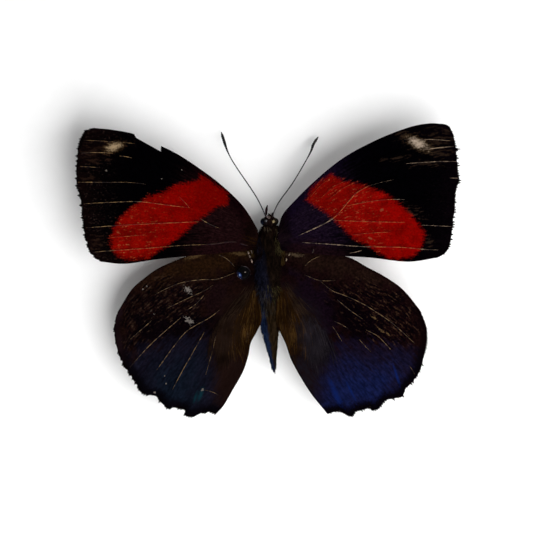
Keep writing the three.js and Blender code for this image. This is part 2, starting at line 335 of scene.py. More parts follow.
def hair_finish(name, colour):
    """Plain hair of one colour, in lighter and darker tufts."""
    finish, tree, sockets = new_finish(name, 0.8, 0)
    tone = eased(tree, cloudy(tree, 2), 0, 1, 0.7, 1.35)
    tree.links.new(toned(tree, (*colour, 1), tone), sockets["Base Color"])
    return finish


# The thorax coat is umber; the blue-black of its left flank is painted cool light from the left.
thorax_coat = coat_finish("thorax_coat", (0.0058, 0.0062, 0.0128), (0.0050, 0.0029, 0.0019), -0.1, 0.9, 0.2)
shoulder_coat = coat_finish("shoulder_coat", (0.0145, 0.013, 0.0145), (0.026, 0.021, 0.0085), 0.2, 1.5)
rust_coat = coat_finish("rust_coat", (0.0046, 0.0017, 0.0015), (0.0052, 0.0020, 0.0016), 0, 2)
tan_coat = coat_finish("tan_coat", (0.045, 0.033, 0.024), (0.05, 0.035, 0.02), 0, 2)

thorax = turned_shell(THORAX_GIRTH, THORAX_RINGS, THORAX_SIDES)
for corner in thorax.verts:
    pressed = sum(dent(corner.co.y - joint, JOINT_DEPTH, JOINT_WIDTH) for joint in PLATE_JOINTS)
    if corner.co.z > 0:
        pressed += dent(corner.co.x, MIDLINE_DEPTH, MIDLINE_WIDTH)
    corner.co.x *= 1 - pressed
    corner.co.z *= 1 - pressed
bmesh.ops.scale(thorax, vec=(THORAX_HALF_WIDTH, 1, THORAX_HALF_HEIGHT), verts=thorax.verts)
for side in (-1, 1):
    add_lobe(thorax, (side * SHIELD_AT[0], *SHIELD_AT[1:]), SHIELD_HALF_SIZE, side * SHIELD_TURN)
for lobe_at in COLLAR_AT:
    add_lobe(thorax, lobe_at, COLLAR_HALF_SIZE)
bmesh.ops.translate(thorax, vec=(BODY_X, 0, BODY_Z), verts=thorax.verts)

thorax_chance = random.Random(11)
thorax_strands = []
for root, facing in skin_places(thorax, THORAX_HAIRS, thorax_chance):
    sway = thorax_chance.uniform(-THORAX_HAIR_SPREAD, THORAX_HAIR_SPREAD)
    length = thorax_chance.uniform(*THORAX_HAIR_LENGTH)
    lay = Vector((sway + THORAX_HAIR_SPREAD * facing.x, -0.8, 0.1 * facing.z)) * length
    is_shoulder = root.x > SHOULDER_X and SHOULDER_Y[0] < root.y < SHOULDER_Y[1] and root.z > BODY_Z
    is_rear = root.y < REAR_HAIR_END and root.z > BODY_Z
    is_left_front = root.x < LEFT_RUST_CORNER[0] and root.y > LEFT_RUST_CORNER[1]
    is_spot = min(math.dist(root[:2], spot) for spot in COLLAR_SPOTS) < COLLAR_SPOT_RADIUS
    number = 0
    if is_spot and facing.z > 0:
        number = 3
    elif root.y > COLLAR_HAIR_START or is_left_front:
        number = 2
    elif is_shoulder or (is_rear and thorax_chance.random() < REAR_HAIR_SHARE):
        number = 1
    hair = lying_hair(root, facing * THORAX_HAIR_RISE * length, lay)
    thorax_strands.append((hair, hair_radii(THORAX_HAIR_RADIUS), number))
thorax_hair = strand_piece("thorax_hair", thorax_strands, [thorax_coat, shoulder_coat, rust_coat, tan_coat])
thorax_shell = mesh_piece("thorax_shell", thorax, thorax_coat)
plate_horn = coat_finish("plate_horn", (0.13, 0.095, 0.078), (0.12, 0.09, 0.065), 0, 3)
tuft_gold = hair_finish("tuft_gold", (0.026, 0.015, 0.005))
plate_strands = []
plate_shares = np.linspace(0, 1, ROOT_PLATE_STEPS)
plate_swell = np.sqrt(np.maximum(0.02, 1 - (2 * plate_shares - 1) ** 2))
for plate in ROOT_PLATES:
    radii = plate_swell * ROOT_PLATE_RADIUS * thorax_chance.uniform(0.7, 1.1)
    plate_strands.append((smooth_line(plate)(plate_shares), radii, 0))
for x, y, half_width, half_length in ROOT_TUFTS:
    for _ in range(ROOT_TUFT_HAIRS):
        root = Vector((x + thorax_chance.uniform(-1, 1) * half_width,
                       y + thorax_chance.uniform(-1, 1) * half_length, ROOT_TUFT_Z))
        lay = Vector((thorax_chance.uniform(-0.15, 0.15), -0.6, 0))
        plate_strands.append((lying_hair(root, Vector((0, 0, 0.3)), lay), hair_radii(THORAX_HAIR_RADIUS), 1))
root_plates = strand_piece("root_plates", plate_strands, [plate_horn, tuft_gold], 2)
for piece in (thorax_shell, thorax_hair, root_plates):
    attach(piece, "root")
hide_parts("thorax")

# Abdomen: eight horny rings that telescope into each other, dried and tapering to a point, clothed in short
# hair and scales, longer at the waist. Its coat is umber, with slate blue painted on its left flank for the
# cool light from the left, and it hangs from the thorax.
ABDOMEN_AT = (0.03, -4.2, 3.4)
ABDOMEN_TURN = 0.096
ABDOMEN_DROOP = 0.09
ABDOMEN_GIRTH = [(0.1, -10.8), (0.27, -10.2), (0.56, -8.3), (0.9, -6.4), (1.28, -4.2), (1.38, -1.7),
                 (1.18, 0.4)]
ABDOMEN_RINGS = 130
ABDOMEN_SIDES = 56
RING_ENDS = (-0.6, -1.9, -3.3, -4.7, -6.1, -7.4, -8.6, -9.6)
RING_STEP = 0.09
RING_STEP_LENGTH = 0.16
FLANK_FOLD_DEPTH = 0.08
FLANK_FOLD_WIDTH = 0.16
FLANK_FOLD_Z = -0.15
ABDOMEN_HAIRS = 1900
ABDOMEN_HAIR_RADIUS = 0.028
ABDOMEN_HAIR_LENGTH = (0.25, 0.55)
ABDOMEN_HAIR_RISE = 0.3
ABDOMEN_HAIR_SPREAD = 0.2
LONG_HAIR_END = -6
LONG_HAIR_EXTRA = 0.5
WAIST_HAIR_END = -6.2
WAIST_HAIR_SHARE = 0.7
PALE_PATCH_X = (-1.1, 0.1)
PALE_PATCH_Y = (-6.8, -4.8)

# The slate blue of the abdomen's left flank is painted cool light from the left; the umber is its own.
abdomen_coat = coat_finish("abdomen_coat", (0.0062, 0.0118, 0.0330), (0.0092, 0.0054, 0.0026), -1.35, 0.5,
                           0.167)
waist_coat = coat_finish("waist_coat", (0.014, 0.0125, 0.013), (0.014, 0.011, 0.008), 0, 2)
pale_hair = hair_finish("pale_hair", (0.03, 0.028, 0.024))
abdomen = turned_shell(ABDOMEN_GIRTH, ABDOMEN_RINGS, ABDOMEN_SIDES)
for corner in abdomen.verts:
    behind = [corner.co.y - end for end in RING_ENDS if corner.co.y >= end]
    lip = RING_STEP * math.exp(-min(behind) / RING_STEP_LENGTH) if behind else 0
    fold = dent(corner.co.z - FLANK_FOLD_Z, FLANK_FOLD_DEPTH, FLANK_FOLD_WIDTH)
    corner.co.x *= 1 + lip - fold
    corner.co.z *= 1 + lip
abdomen_place = (Matrix.Translation(ABDOMEN_AT) @ Matrix.Rotation(ABDOMEN_DROOP, 4, "X")
                 @ Matrix.Rotation(ABDOMEN_TURN, 4, "Z"))
bmesh.ops.transform(abdomen, matrix=abdomen_place, verts=abdomen.verts)

abdomen_chance = random.Random(23)
abdomen_strands = []
for root, facing in skin_places(abdomen, ABDOMEN_HAIRS, abdomen_chance):
    length = abdomen_chance.uniform(*ABDOMEN_HAIR_LENGTH)
    if root.y > LONG_HAIR_END and root.z > ABDOMEN_AT[2]:
        length += LONG_HAIR_EXTRA
    lay = Vector((abdomen_chance.uniform(-ABDOMEN_HAIR_SPREAD, ABDOMEN_HAIR_SPREAD), -0.9, -0.05)) * length
    places = lying_hair(root, facing * ABDOMEN_HAIR_RISE * length, lay)
    number = int(root.y > WAIST_HAIR_END and abdomen_chance.random() < WAIST_HAIR_SHARE)
    is_pale = PALE_PATCH_X[0] < root.x < PALE_PATCH_X[1] and PALE_PATCH_Y[0] < root.y < PALE_PATCH_Y[1]
    if is_pale and facing.z > 0.3:
        number = abdomen_chance.choice((1, 2))
    abdomen_strands.append((places, hair_radii(ABDOMEN_HAIR_RADIUS), number))
abdomen_hair = strand_piece("abdomen_hair", abdomen_strands, [abdomen_coat, waist_coat, pale_hair])
abdomen_shell = mesh_piece("abdomen_shell", abdomen, abdomen_coat)
for piece in (abdomen_shell, abdomen_hair):
    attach(piece, "root")
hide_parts("abdomen")

# Head: a small horny capsule with a bristly face, set on a short neck close to the thorax. Its coat is dark
# umber, with slate painted on the left for the cool light from there, and a few pale scales on the face. The
# pale tufts at the inner sides of the eyes are painted highlights, bluish on the left and cream on the right.
HEAD_AT = (0.36, 7, 3.6)
HEAD_HALF_SIZE = (0.92, 0.98, 1.05)
# The bulge of the face and the groove in the crown, as depth and width.
FACE_BULGE = (0.08, 0.3)
CROWN_GROOVE = (0.1, 0.12)
NECK_AT = (BODY_X + 0.12, 6, BODY_Z)
NECK_RADIUS = 0.75
NECK_LENGTH = 1
HEAD_HAIRS = 620
HEAD_HAIR_RADIUS = 0.03
HEAD_HAIR_LENGTH = (0.25, 0.6)
HEAD_HAIR_RISE = 0.6
HEAD_HAIR_SPREAD = 0.3
FACE_AHEAD = 0.75
FACE_ASIDE = 0.1
FACE_HALF_WIDTH = 0.3
TUFT_HAIRS = 60
TUFT_HEIGHT = 0.5
TUFT_SWAY = 0.1
ABOVE_HEAD = 3
# Pale tufts on the head, as place, radius and the number of their finish. Those with finish 1, beside the
# eyes, are painted highlights.
FACE_TUFTS = ((0.93, 7.03, 0.2, 1), (-0.16, 7.13, 0.17, 1), (0.05, 7.85, 0.16, 2), (0.3, 7.65, 0.22, 2))
DOWN = Vector((0, 0, -1))

# Head coat: dark umber, with slate painted on the left for the cool light from there.
head_coat = coat_finish("head_coat", (0.0066, 0.0045, 0.0050), (0.0085, 0.0044, 0.0038), 0, 0.5)
# Painted highlights on the tufts beside the eyes: bluish on the left, cream on the right.
highlight_tuft_coat = coat_finish("highlight_tuft_coat", (0.12, 0.12, 0.13), (0.42, 0.33, 0.18), 0.55, 0.1)
brow_coat = coat_finish("brow_coat", (0.22, 0.17, 0.17), (0.12, 0.09, 0.08), 0.2, 0.3)
head = bmesh.new()
bmesh.ops.create_uvsphere(head, u_segments=36, v_segments=24, radius=1)
for corner in head.verts:
    corner.co.y *= 1 + dent(corner.co.x, *FACE_BULGE)
    corner.co.z *= 1 - dent(corner.co.x, *CROWN_GROOVE)
head_place = Matrix.Translation(HEAD_AT) @ Matrix.Diagonal((*HEAD_HALF_SIZE, 1))
bmesh.ops.transform(head, matrix=head_place, verts=head.verts)
neck_place = Matrix.Translation(NECK_AT) @ Matrix.Rotation(math.pi / 2, 4, "X")
bmesh.ops.create_cone(head, cap_ends=True, segments=24, radius1=NECK_RADIUS, radius2=NECK_RADIUS,
                      depth=NECK_LENGTH, matrix=neck_place)

head_surface = BVHTree.FromBMesh(head)
head_chance = random.Random(37)
head_strands = []
for root, facing in skin_places(head, HEAD_HAIRS, head_chance):
    length = head_chance.uniform(*HEAD_HAIR_LENGTH)
    is_face = root.y > HEAD_AT[1] + FACE_AHEAD and abs(root.x - HEAD_AT[0] + FACE_ASIDE) < FACE_HALF_WIDTH
    sway = head_chance.uniform(-HEAD_HAIR_SPREAD, HEAD_HAIR_SPREAD)
    lay = Vector((sway, 0.35 if is_face else -0.7, 0.15)) * length
    hair = lying_hair(root, facing * HEAD_HAIR_RISE * length, lay)
    head_strands.append((hair, hair_radii(HEAD_HAIR_RADIUS), 0))
for x, y, spread, number in FACE_TUFTS:
    for _ in range(TUFT_HAIRS):
        turn = head_chance.uniform(0, 2 * math.pi)
        away = spread * math.sqrt(head_chance.random())
        above = Vector((x + away * math.cos(turn), y + away * math.sin(turn), HEAD_AT[2] + ABOVE_HEAD))
        root = head_surface.ray_cast(above, DOWN)[0]
        lay = Vector([head_chance.uniform(-TUFT_SWAY, TUFT_SWAY) for _ in range(2)] + [0])
        if root is not None:
            hair = lying_hair(root, Vector((0, 0, TUFT_HEIGHT)), lay)
            head_strands.append((hair, hair_radii(HEAD_HAIR_RADIUS), number))
head_hair = strand_piece("head_hair", head_strands, [head_coat, highlight_tuft_coat, brow_coat])
head_capsule = mesh_piece("head_capsule", head, head_coat)
for piece in (head_capsule, head_hair):
    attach(piece, "root")
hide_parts("head")

# Eyes: bulging domes of many tiny six-sided lenses, dark and faintly glossy, one on each side of the head.
# Slate on the left one and tan on the right one are painted light: cool from the left, warm from the right.
EYE_RADIUS = 0.56
EYE_SPREAD = 0.8
EYE_FORWARD = 0.05
EYE_STRETCH = (0.95, 1, 1.12)
EYE_PAINTED_LIGHT_END = 0.7
LENS_WIDTH = 0.055

eye_lens, eye_tree, eye_sockets = new_finish("eye_lens", 0.22, 0.025)
eye_place = add_node(eye_tree, "ShaderNodeTexCoord").outputs["Object"]
eye_cells = add_node(eye_tree, "ShaderNodeTexVoronoi", {"Vector": eye_place, "Scale": 1 / (LENS_WIDTH * MM)})
eye_across = add_node(eye_tree, "ShaderNodeSeparateXYZ", {0: eye_place}).outputs[0]
# Painted light: the eyes run from slate on the left, for the cool light, to tan on the right, for the warm
# light.
eye_painted_light = laid(eye_tree, (0.0034, 0.0036, 0.0064, 1), (0.0125, 0.008, 0.005, 1), eye_across,
                  0, EYE_PAINTED_LIGHT_END * MM)
eye_tone = eased(eye_tree, cloudy(eye_tree, 0.4), 0, 1, 0.3, 1.4)
eye_tree.links.new(toned(eye_tree, eye_painted_light, eye_tone), eye_sockets["Base Color"])
add_relief(eye_tree, eye_sockets, eye_cells.outputs["Distance"], 0.02, 0.5, invert=True)

for name, side in (("left", -1), ("right", 1)):
    eye = bmesh.new()
    bmesh.ops.create_icosphere(eye, subdivisions=4, radius=EYE_RADIUS)
    bmesh.ops.scale(eye, vec=EYE_STRETCH, verts=eye.verts)
    bmesh.ops.translate(eye, vec=(HEAD_AT[0] + side * EYE_SPREAD, HEAD_AT[1] + EYE_FORWARD, HEAD_AT[2]),
                        verts=eye.verts)
    eye_piece = mesh_piece(f"{name}_eye_dome", eye, eye_lens)
    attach(eye_piece, "root")
    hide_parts(f"{name}_eye")

# Palps and tongue: two scaly feelers in front of the mouth, the left one reaching up and forward and the
# right one folded down, with the long tongue wound up like a watch spring between them, under the head.
PALP_RADIUS = 0.16
LEFT_PALP = [(-0.1, 8.02, 3.4), (-0.1, 8.6, 3.5), (0.05, 9.4, 4)]
RIGHT_PALP = [(0.8, 7.85, 3.2), (0.82, 8.15, 2.95), (0.78, 8.25, 2.55)]
PALP_STOPS = [(0, 0.9), (0.55, 1.15), (0.85, 0.7), (1, 0.25)]
PALP_STEPS = 24
PALP_HAIRS = 110
PALP_HAIR_RISE = 0.28
PALP_HAIR_LAY = 0.3
BRISTLE_RADIUS = 0.025
TONGUE_RADIUS = 0.1
TONGUE_AT = (0.36, 7.5, 1.98)
TONGUE_COIL = 0.52
TONGUE_TURNS = 1.8
TONGUE_CLOSING = 0.7
TONGUE_TAPER = 0.4
TONGUE_RIBS = 60
RIB_PLACES = 4
RIB_WAIST = 0.88


def limb_strand(points, stops, radius, steps, number=0):
    """A strand along a smooth line through points, its radius following stops of length share and size."""
    shares = np.linspace(0, 1, steps)
    sizes = np.interp(shares, *zip(*stops)) * radius
    return smooth_line(points)(shares), sizes, number


def horn_finish(name, dark, pale, ring_length, roughness=0.45, specular=0.3):
    """Horn in dark and paler rings or blotches, faintly glossy."""
    finish, tree, sockets = new_finish(name, roughness, specular)
    tree.links.new(blotched(tree, ring_length, 0.35, 0.75, dark, pale), sockets["Base Color"])
    add_relief(tree, sockets, cloudy(tree, 0.06), 0.02, 0.5)
    return finish


palp_coat = coat_finish("palp_coat", (0.013, 0.0056, 0.008), (0.012, 0.0056, 0.0066), 0, 1)
tongue_horn = horn_finish("tongue_horn", (0.012, 0.008, 0.006), (0.035, 0.02, 0.012), 0.2)
palp_chance = random.Random(41)
for name, palp in (("left", LEFT_PALP), ("right", RIGHT_PALP)):
    palp_strands = [limb_strand(palp, PALP_STOPS, PALP_RADIUS, PALP_STEPS)]
    for _ in range(PALP_HAIRS):
        start = palp_chance.uniform(0, 0.9)
        root, ahead = (Vector(place) for place in smooth_line(palp)(np.array([start, start + 0.1])))
        out = Vector([palp_chance.uniform(-1, 1) for _ in range(3)]).normalized()
        lay = (ahead - root).normalized() * PALP_HAIR_LAY
        palp_strands.append((lying_hair(root, out * PALP_HAIR_RISE, lay), hair_radii(BRISTLE_RADIUS), 0))
    palp_piece = strand_piece(f"{name}_palp_brush", palp_strands, [palp_coat], 2)
    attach(palp_piece, "root")
    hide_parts(f"{name}_palp")

tongue_places, tongue_radii = [], []
across, along, up = TONGUE_AT
for step in range(TONGUE_RIBS * RIB_PLACES):
    share = step / (TONGUE_RIBS * RIB_PLACES - 1)
    angle = math.pi / 2 + share * TONGUE_TURNS * 2 * math.pi
    reach = TONGUE_COIL * (1 - TONGUE_CLOSING * share)
    tongue_places.append((across, along - reach * math.cos(angle), up + reach * math.sin(angle)))
    rib = 1 if step % RIB_PLACES < 2 else RIB_WAIST
    tongue_radii.append(TONGUE_RADIUS * (1 - TONGUE_TAPER * share) * rib)
tongue_coil = strand_piece("tongue_coil", [(tongue_places, tongue_radii, 0)], [tongue_horn], 3)
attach(tongue_coil, "root")
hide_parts("proboscis")

# Antennae: two long hair-thin feelers of some forty horny rings, each swelling to a slim club. They spring
# from the brow beside the eyes and droop forwards towards the surface.
ANTENNA_RADIUS = 0.095
CLUB_RADIUS = 0.215
ANTENNA_RINGS = 46
RING_PLACES = 4
RING_WAIST = 0.8
LEFT_ANTENNA = [(-0.15, 7.75, 4.35), (-1.6, 10.7, 4.1), (-4.4, 14.9, 2.9), (-5.7, 17.2, 1.9),
                (-6.7, 20.2, 0.9)]
RIGHT_ANTENNA = [(0.75, 7.75, 4.35), (1.7, 9.8, 4.2), (3.9, 12.9, 3.4), (6.2, 16.9, 1.9), (6.8, 18.4, 1.3),
                 (7.5, 19.5, 0.9)]
CLUB_SHARE = CLUB_RADIUS / ANTENNA_RADIUS
ANTENNA_STOPS = [(0, 1.3), (0.03, 0.9), (0.74, 0.9), (0.82, 1.5), (0.88, CLUB_SHARE),
                 (0.96, 0.95 * CLUB_SHARE), (1, 0.6)]

antenna_horn = horn_finish("antenna_horn", (0.006, 0.005, 0.005), (0.016, 0.012, 0.01), 0.5, 0.6, 0.08)
for name, antenna in (("left", LEFT_ANTENNA), ("right", RIGHT_ANTENNA)):
    places, radii, number = limb_strand(antenna, ANTENNA_STOPS, ANTENNA_RADIUS, ANTENNA_RINGS * RING_PLACES)
    radii = [radius * (RING_WAIST if step % RING_PLACES == 0 else 1) for step, radius in enumerate(radii)]
    antenna_piece = strand_piece(f"{name}_antenna_rings", [(places, radii, number)], [antenna_horn], 3)
    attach(antenna_piece, "root")
    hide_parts(f"{name}_antenna")

# Legs: the first pair are short hairy brush feet folded against the breast. The other two pairs are horny,
# with thigh, shin and a jointed foot that ends in two claws, and spines along the shin and foot.
HIP_RADIUS = 0.22
TOE_RADIUS = 0.11
FORELEG = [(0.45, 4.3, 1.6), (1, 4.9, 1.2), (0.75, 5.6, 1.5)]
MIDLEG = [(0.6, 1.9, 1.3), (2.6, 2.6, 2.2), (4.3, 3.2, 2.9), (5.3, 3.6, 1.6), (6, 3.9, 0.3), (6.8, 4.2, 0.13),
          (8, 4.6, 0.13)]
HINDLEG = [(0.6, -0.9, 1.3), (2.5, -2.3, 2.2), (4, -3.5, 2.9), (4.9, -4.8, 1.6), (5.4, -5.7, 0.3),
           (5.9, -6.5, 0.13), (6.6, -7.6, 0.13)]
TOE_SHARE = TOE_RADIUS / HIP_RADIUS
LEG_STOPS = [(0, 1), (0.2, 1.05), (0.4, 0.75), (0.43, 0.85), (0.5, 0.6), (0.72, 0.55), (0.75, TOE_SHARE),
             (0.8, 0.75 * TOE_SHARE), (0.82, TOE_SHARE), (0.88, 0.75 * TOE_SHARE), (0.9, TOE_SHARE),
             (0.97, 0.7 * TOE_SHARE), (1, 0.5 * TOE_SHARE)]
BRUSH_STOPS = [(0, 1), (0.5, 0.8), (1, 0.4)]
LEG_STEPS = 70
SPINES = 44
BRUSH_HAIRS = 160
SPINE_START = 0.45
# How far the hairs of a brush foot and the spines of a leg rise from it and lie along it.
BRUSH_RISE, BRUSH_LAY = 0.35, 0.3
SPINE_RISE, SPINE_LAY = 0.22, 0.12
CLAW = ((0, 0, 0), (0.12, 0.05, 0.06), (0.24, 0.1, -0.04))
CLAW_RADII = (0.05, 0.04, 0.01)

leg_horn = horn_finish("leg_horn", (0.012, 0.008, 0.006), (0.04, 0.025, 0.016), 0.5)
leg_chance = random.Random(53)
for name, side in (("left", -1), ("right", 1)):
    for pair, leg in (("foreleg", FORELEG), ("midleg", MIDLEG), ("hindleg", HINDLEG)):
        is_brush = pair == "foreleg"
        points = [(BODY_X + side * out, along, up) for out, along, up in leg]
        leg_line = smooth_line(points)
        strands = [limb_strand(points, BRUSH_STOPS if is_brush else LEG_STOPS, HIP_RADIUS, LEG_STEPS)]
        for _ in range(BRUSH_HAIRS if is_brush else SPINES):
            start = leg_chance.uniform(0 if is_brush else SPINE_START, 0.95)
            root, ahead = (Vector(place) for place in leg_line(np.array([start, start + 0.04])))
            out = Vector([leg_chance.uniform(-1, 1) for _ in range(3)]).normalized()
            out *= BRUSH_RISE if is_brush else SPINE_RISE
            out.z = max(out.z, TOE_RADIUS - root.z)
            lay = (ahead - root).normalized() * (BRUSH_LAY if is_brush else SPINE_LAY)
            strands.append((lying_hair(root, out, lay), hair_radii(BRISTLE_RADIUS), 0))
        for turn in (() if is_brush else (-1, 1)):
            toe = Vector(leg_line(1.0))
            claw = [toe + Vector((side * (x + 0.3 * turn * y), y * turn, z)) for x, y, z in CLAW]
            strands.append((claw, CLAW_RADII, 0))
        leg_piece = strand_piece(f"{name}_{pair}_jointed", strands, [head_coat if is_brush else leg_horn], 2)
        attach(leg_piece, "root")
        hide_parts(f"{name}_{pair}")

# Forewings: two thin sheets of horn on raised veins, shingled with scales, black with a broad red band and a
# cream spot before the tip. Where the scales are rubbed off, the veins show tan, stained red in the band, and
# the margins are frayed. They are the upper pair, and a sliver has broken off the left one's front edge.
LEFT_FOREWING = {
    "front": [(-1.3, 5.8), (-3.5, 9.3), (-7.2, 12.8), (-12, 16.2), (-15.2, 17.9), (-19, 19.6), (-22.5, 20.3),
              (-24.8, 20.5)],
    "outer": [(-24.8, 20.5), (-25.9, 20.2), (-26.5, 19.5), (-27, 18.1), (-27.3, 16.3), (-27.4, 12.8),
              (-26.9, 10.5), (-26.5, 7.5), (-26.2, 5.1), (-25.6, 3), (-24.9, 2), (-23.8, 1.2)],
    "rear": [(-1.3, 3), (-8.3, 2.3), (-15.5, 1.6), (-20.5, 0.9), (-23.8, 1.2)],
}
RIGHT_FOREWING = {
    "front": [(1.6, 6), (2.2, 7.9), (3.4, 9.4), (6.8, 12.8), (11, 16.2), (15.8, 18.8), (20.4, 20.6),
              (23.4, 21.2), (25.5, 21.1)],
    "outer": [(25.5, 21.1), (26.3, 20.7), (26.8, 19.6), (27.1, 18.1), (27.2, 17.7), (27.6, 17.5),
              (27.3, 17.1), (27.4, 16), (27.5, 14.2), (27.7, 12.9), (27.2, 11.4), (27.1, 9.2),
              (26.8, 6.8), (26.4, 4), (25.8, 2.6), (24.6, 1.8)],
    "rear": [(1.6, 2.9), (8.4, 2.2), (14.8, 1.8), (20.4, 1.2), (24.6, 1.8)],
}
FOREWING_SET = {"root": 4.9, "rise": 0.045, "arch": 0.45, "span": 27.4, "fall": 0, "flutes": 5, "flute": 0.1}
CHIP = [(-15.2, 19), (-15.4, 17.15), (-18.9, 19.1), (-19.2, 19.6), (-18.6, 21)]
LEFT_BAND = [(-9.6, 13.8), (-5.8, 11.2), (-5.7, 9.5), (-7.1, 9.2), (-9.9, 7.3), (-12.6, 4.9), (-15.8, 2.7),
             (-17.1, 1.7), (-20.2, 1.5), (-21.6, 2), (-22.4, 3), (-22.7, 4.6), (-22.2, 6), (-21.5, 7.2),
             (-19.8, 8.9), (-18.3, 9.8), (-17.2, 10.6), (-14.6, 11.4), (-13.6, 12.2), (-9.7, 13)]
RIGHT_BAND = [(9.2, 13.9), (6.5, 11.9), (5.7, 10.1), (8.7, 8.2), (10.7, 6.4), (12.3, 4.7), (14.2, 3.8),
              (16.2, 2.6), (17.3, 1.8), (19.1, 1.6), (21, 2), (22.3, 3.1), (22.8, 5.1), (22, 6.6), (20, 8.8),
              (17.9, 10.5), (16.4, 11.4), (13.9, 12.3), (11, 12.9)]
# Rubbed patches, as centre, half length, half width and turn.
LEFT_CREAM = [(-22.2, 17.8, 1.4, 0.72, 0.3)]
RIGHT_CREAM = [(21.9, 18.3, 1.8, 0.75, -0.5)]
LEFT_DUSTY = [(-24.8, 17.2, 2.2, 1.3, 0.2), (-25, 15.9, 2, 0.5, 0), (-20.8, 18.2, 1.8, 0.5, 0.1),
              (-25.6, 13.2, 1.3, 0.5, 0), (-24.6, 4, 1.2, 1.2, 0)]
RIGHT_DUSTY = [(21.2, 18.8, 3.4, 1.1, -0.35), (24.6, 18.6, 2.6, 1.9, 0), (18.8, 16.2, 2.2, 0.4, 0.15),
               (23.2, 15.4, 2.6, 0.5, 0.05), (25, 16.9, 2.2, 0.8, 0.05), (20.5, 8.4, 2.2, 1, -0.3),
               (23.5, 4.2, 0.8, 1, 0)]
LEFT_FOREWING_FLECKS = [(-23.2, 14.4, 0.22, 0.18, 0), (-12.3, 14.5, 0.15, 0.12, 0),
                        (-15.2, 13.2, 0.18, 0.12, 0)]
RIGHT_FOREWING_FLECKS = [(16.6, 8.7, 0.42, 0.3, 0.4), (14.9, 4.6, 0.5, 0.2, -0.5)]
# Bare veins, as thickness and the places along them.
LEFT_FOREWING_VEINS = [
    (0.6, [(-26.8, 18.8), (-23, 18.6), (-19.1, 18.3)]),
    (1, [(-27.1, 16.9), (-24.7, 17), (-22.3, 16.9)]),
    (1, [(-21.3, 16.5), (-20.4, 16.4), (-19.5, 16.2)]),
    (0.8, [(-27.1, 15), (-25.4, 14.9), (-24.4, 14.8)]),
    (1, [(-27.3, 12.7), (-22.3, 12.7), (-20.5, 12.7)]),
    (0.5, [(-20.5, 12.7), (-19, 12.6), (-17.5, 12.4)]),
    (1, [(-26.4, 9.6), (-22.5, 9.8), (-18.6, 9.9), (-15.2, 9.5), (-11.2, 9)]),
    (0.8, [(-12.7, 10.6), (-11.9, 9.8), (-11.2, 9)]),
    (1.1, [(-26.2, 6.1), (-22.3, 6.4), (-16.7, 6.7), (-9.9, 7)]),
    (1.1, [(-9.7, 7.5), (-8.4, 6.7), (-7, 6.1)]),
    (0.5, [(-22.6, 4.7), (-20, 4.9), (-17.5, 5.1)]),
    (1, [(-26, 2.5), (-22.6, 2.8), (-19.3, 3), (-14.5, 3.4)]),
    (0.7, [(-14.5, 3.4), (-11.5, 3.6), (-8.6, 3.7)]),
]
LEFT_ROOT_VEINS = [
    (2.2, [(-8.6, 3.7), (-6.9, 3.9), (-5.4, 4.1), (-4.4, 4.05)]),
    (2.4, [(-3.9, 3.85), (-3.3, 3.7), (-2.7, 3.5)]),
]
RIGHT_FOREWING_VEINS = [
    (0.8, [(19.9, 18.9), (23.5, 18.9), (26.5, 18.7)]),
    (1.3, [(22.6, 17.4), (25, 17.7), (27.3, 17.9)]),
    (1, [(20.1, 15.4), (24.8, 15.7), (27.4, 15.7)]),
    (0.8, [(26.4, 13.3), (27, 13.3), (27.6, 13.3)]),
    (1.5, [(4.6, 5), (9.3, 7.3), (11.7, 9.8), (13, 11.2), (14.8, 12.2)]),
    (0.2, [(14.8, 12.2), (16.6, 12.7), (18.5, 13.1)]),
    (0.4, [(6.3, 10.6), (7.7, 12.2), (9.1, 13.3)]),
    (0.4, [(7.8, 10.4), (9.6, 12), (11.6, 13)]),
    (0.4, [(9, 10.2), (10.9, 11.8), (12.8, 12.6)]),
    (0.9, [(11.6, 9.3), (14.8, 9.9), (17.5, 10.2), (19.9, 10.2)]),
    (0.9, [(9.6, 7.2), (14.8, 7), (19.9, 6.9)]),
    (0.6, [(22.3, 6.5), (24.5, 6.4), (26.8, 6.3)]),
    (0.6, [(12.2, 5.1), (15.8, 5.4), (18.1, 5.5)]),
    (1.2, [(5.1, 4), (9.7, 3.7), (13.8, 3.4), (19.1, 3.3), (22.6, 3), (24.8, 2.9)]),
    (1.3, [(12, 2.45), (12.8, 2.6), (13.7, 2.85)]),
    (1.3, [(6.55, 2.45), (6.7, 2.7), (6.75, 3.05)]),
]
SHEET_THICKNESS = 0.1
SHEET_CELLS = (150, 220)
VEIN_RADIUS = 0.055
VEIN_STEP = 0.25
VEIN_END = 0.35
VEIN_SWELL = 5
VEIN_UNEVENNESS = (0.7, 1.15)
ABOVE_WINGS = 20
RIDGE_HEIGHT = 0.07
RIDGE_WIDTH = 0.2
FRAY_STEP = 0.26
FRAY_DEPTH = 0.2
FRAY_SHARE = 0.97
OUTWARD_STEP = 0.02
FRINGE_ROOT = 0.985
FRINGE_SPACING = 0.03
FRINGE_RADIUS = 0.035
FRINGE_LENGTH = 0.05
FRINGE_SWAY = 0.05
FRINGE_TIP = 0.6
TUFT_WIDTH = 0.36
TUFT_LENGTH = 0.5
TUFT_POINT = 1.5
TUFT_PINCH = 0.3
# A coat of wing hair, as count, shares of reach and of breadth it starts between, length and lean to the rear
# as shares, and the numbers of its finishes.
ROOT_HAIRS = (170, (-0.05, 0.06), (0, 1.08), 0.07, 0, (0, 0, 0, 0, 0, 1))
WING_HAIR_RADIUS = 0.03
WING_HAIR_SWAY = 0.03
WING_HAIR_LENGTHS = (0.6, 1.2)
WING_HAIR_LIFTS = (0.4, 1.3)
HAIR_LIFTS = (0, 0.12, 0.16, 0.1)
REAR_LIMIT = 0.99


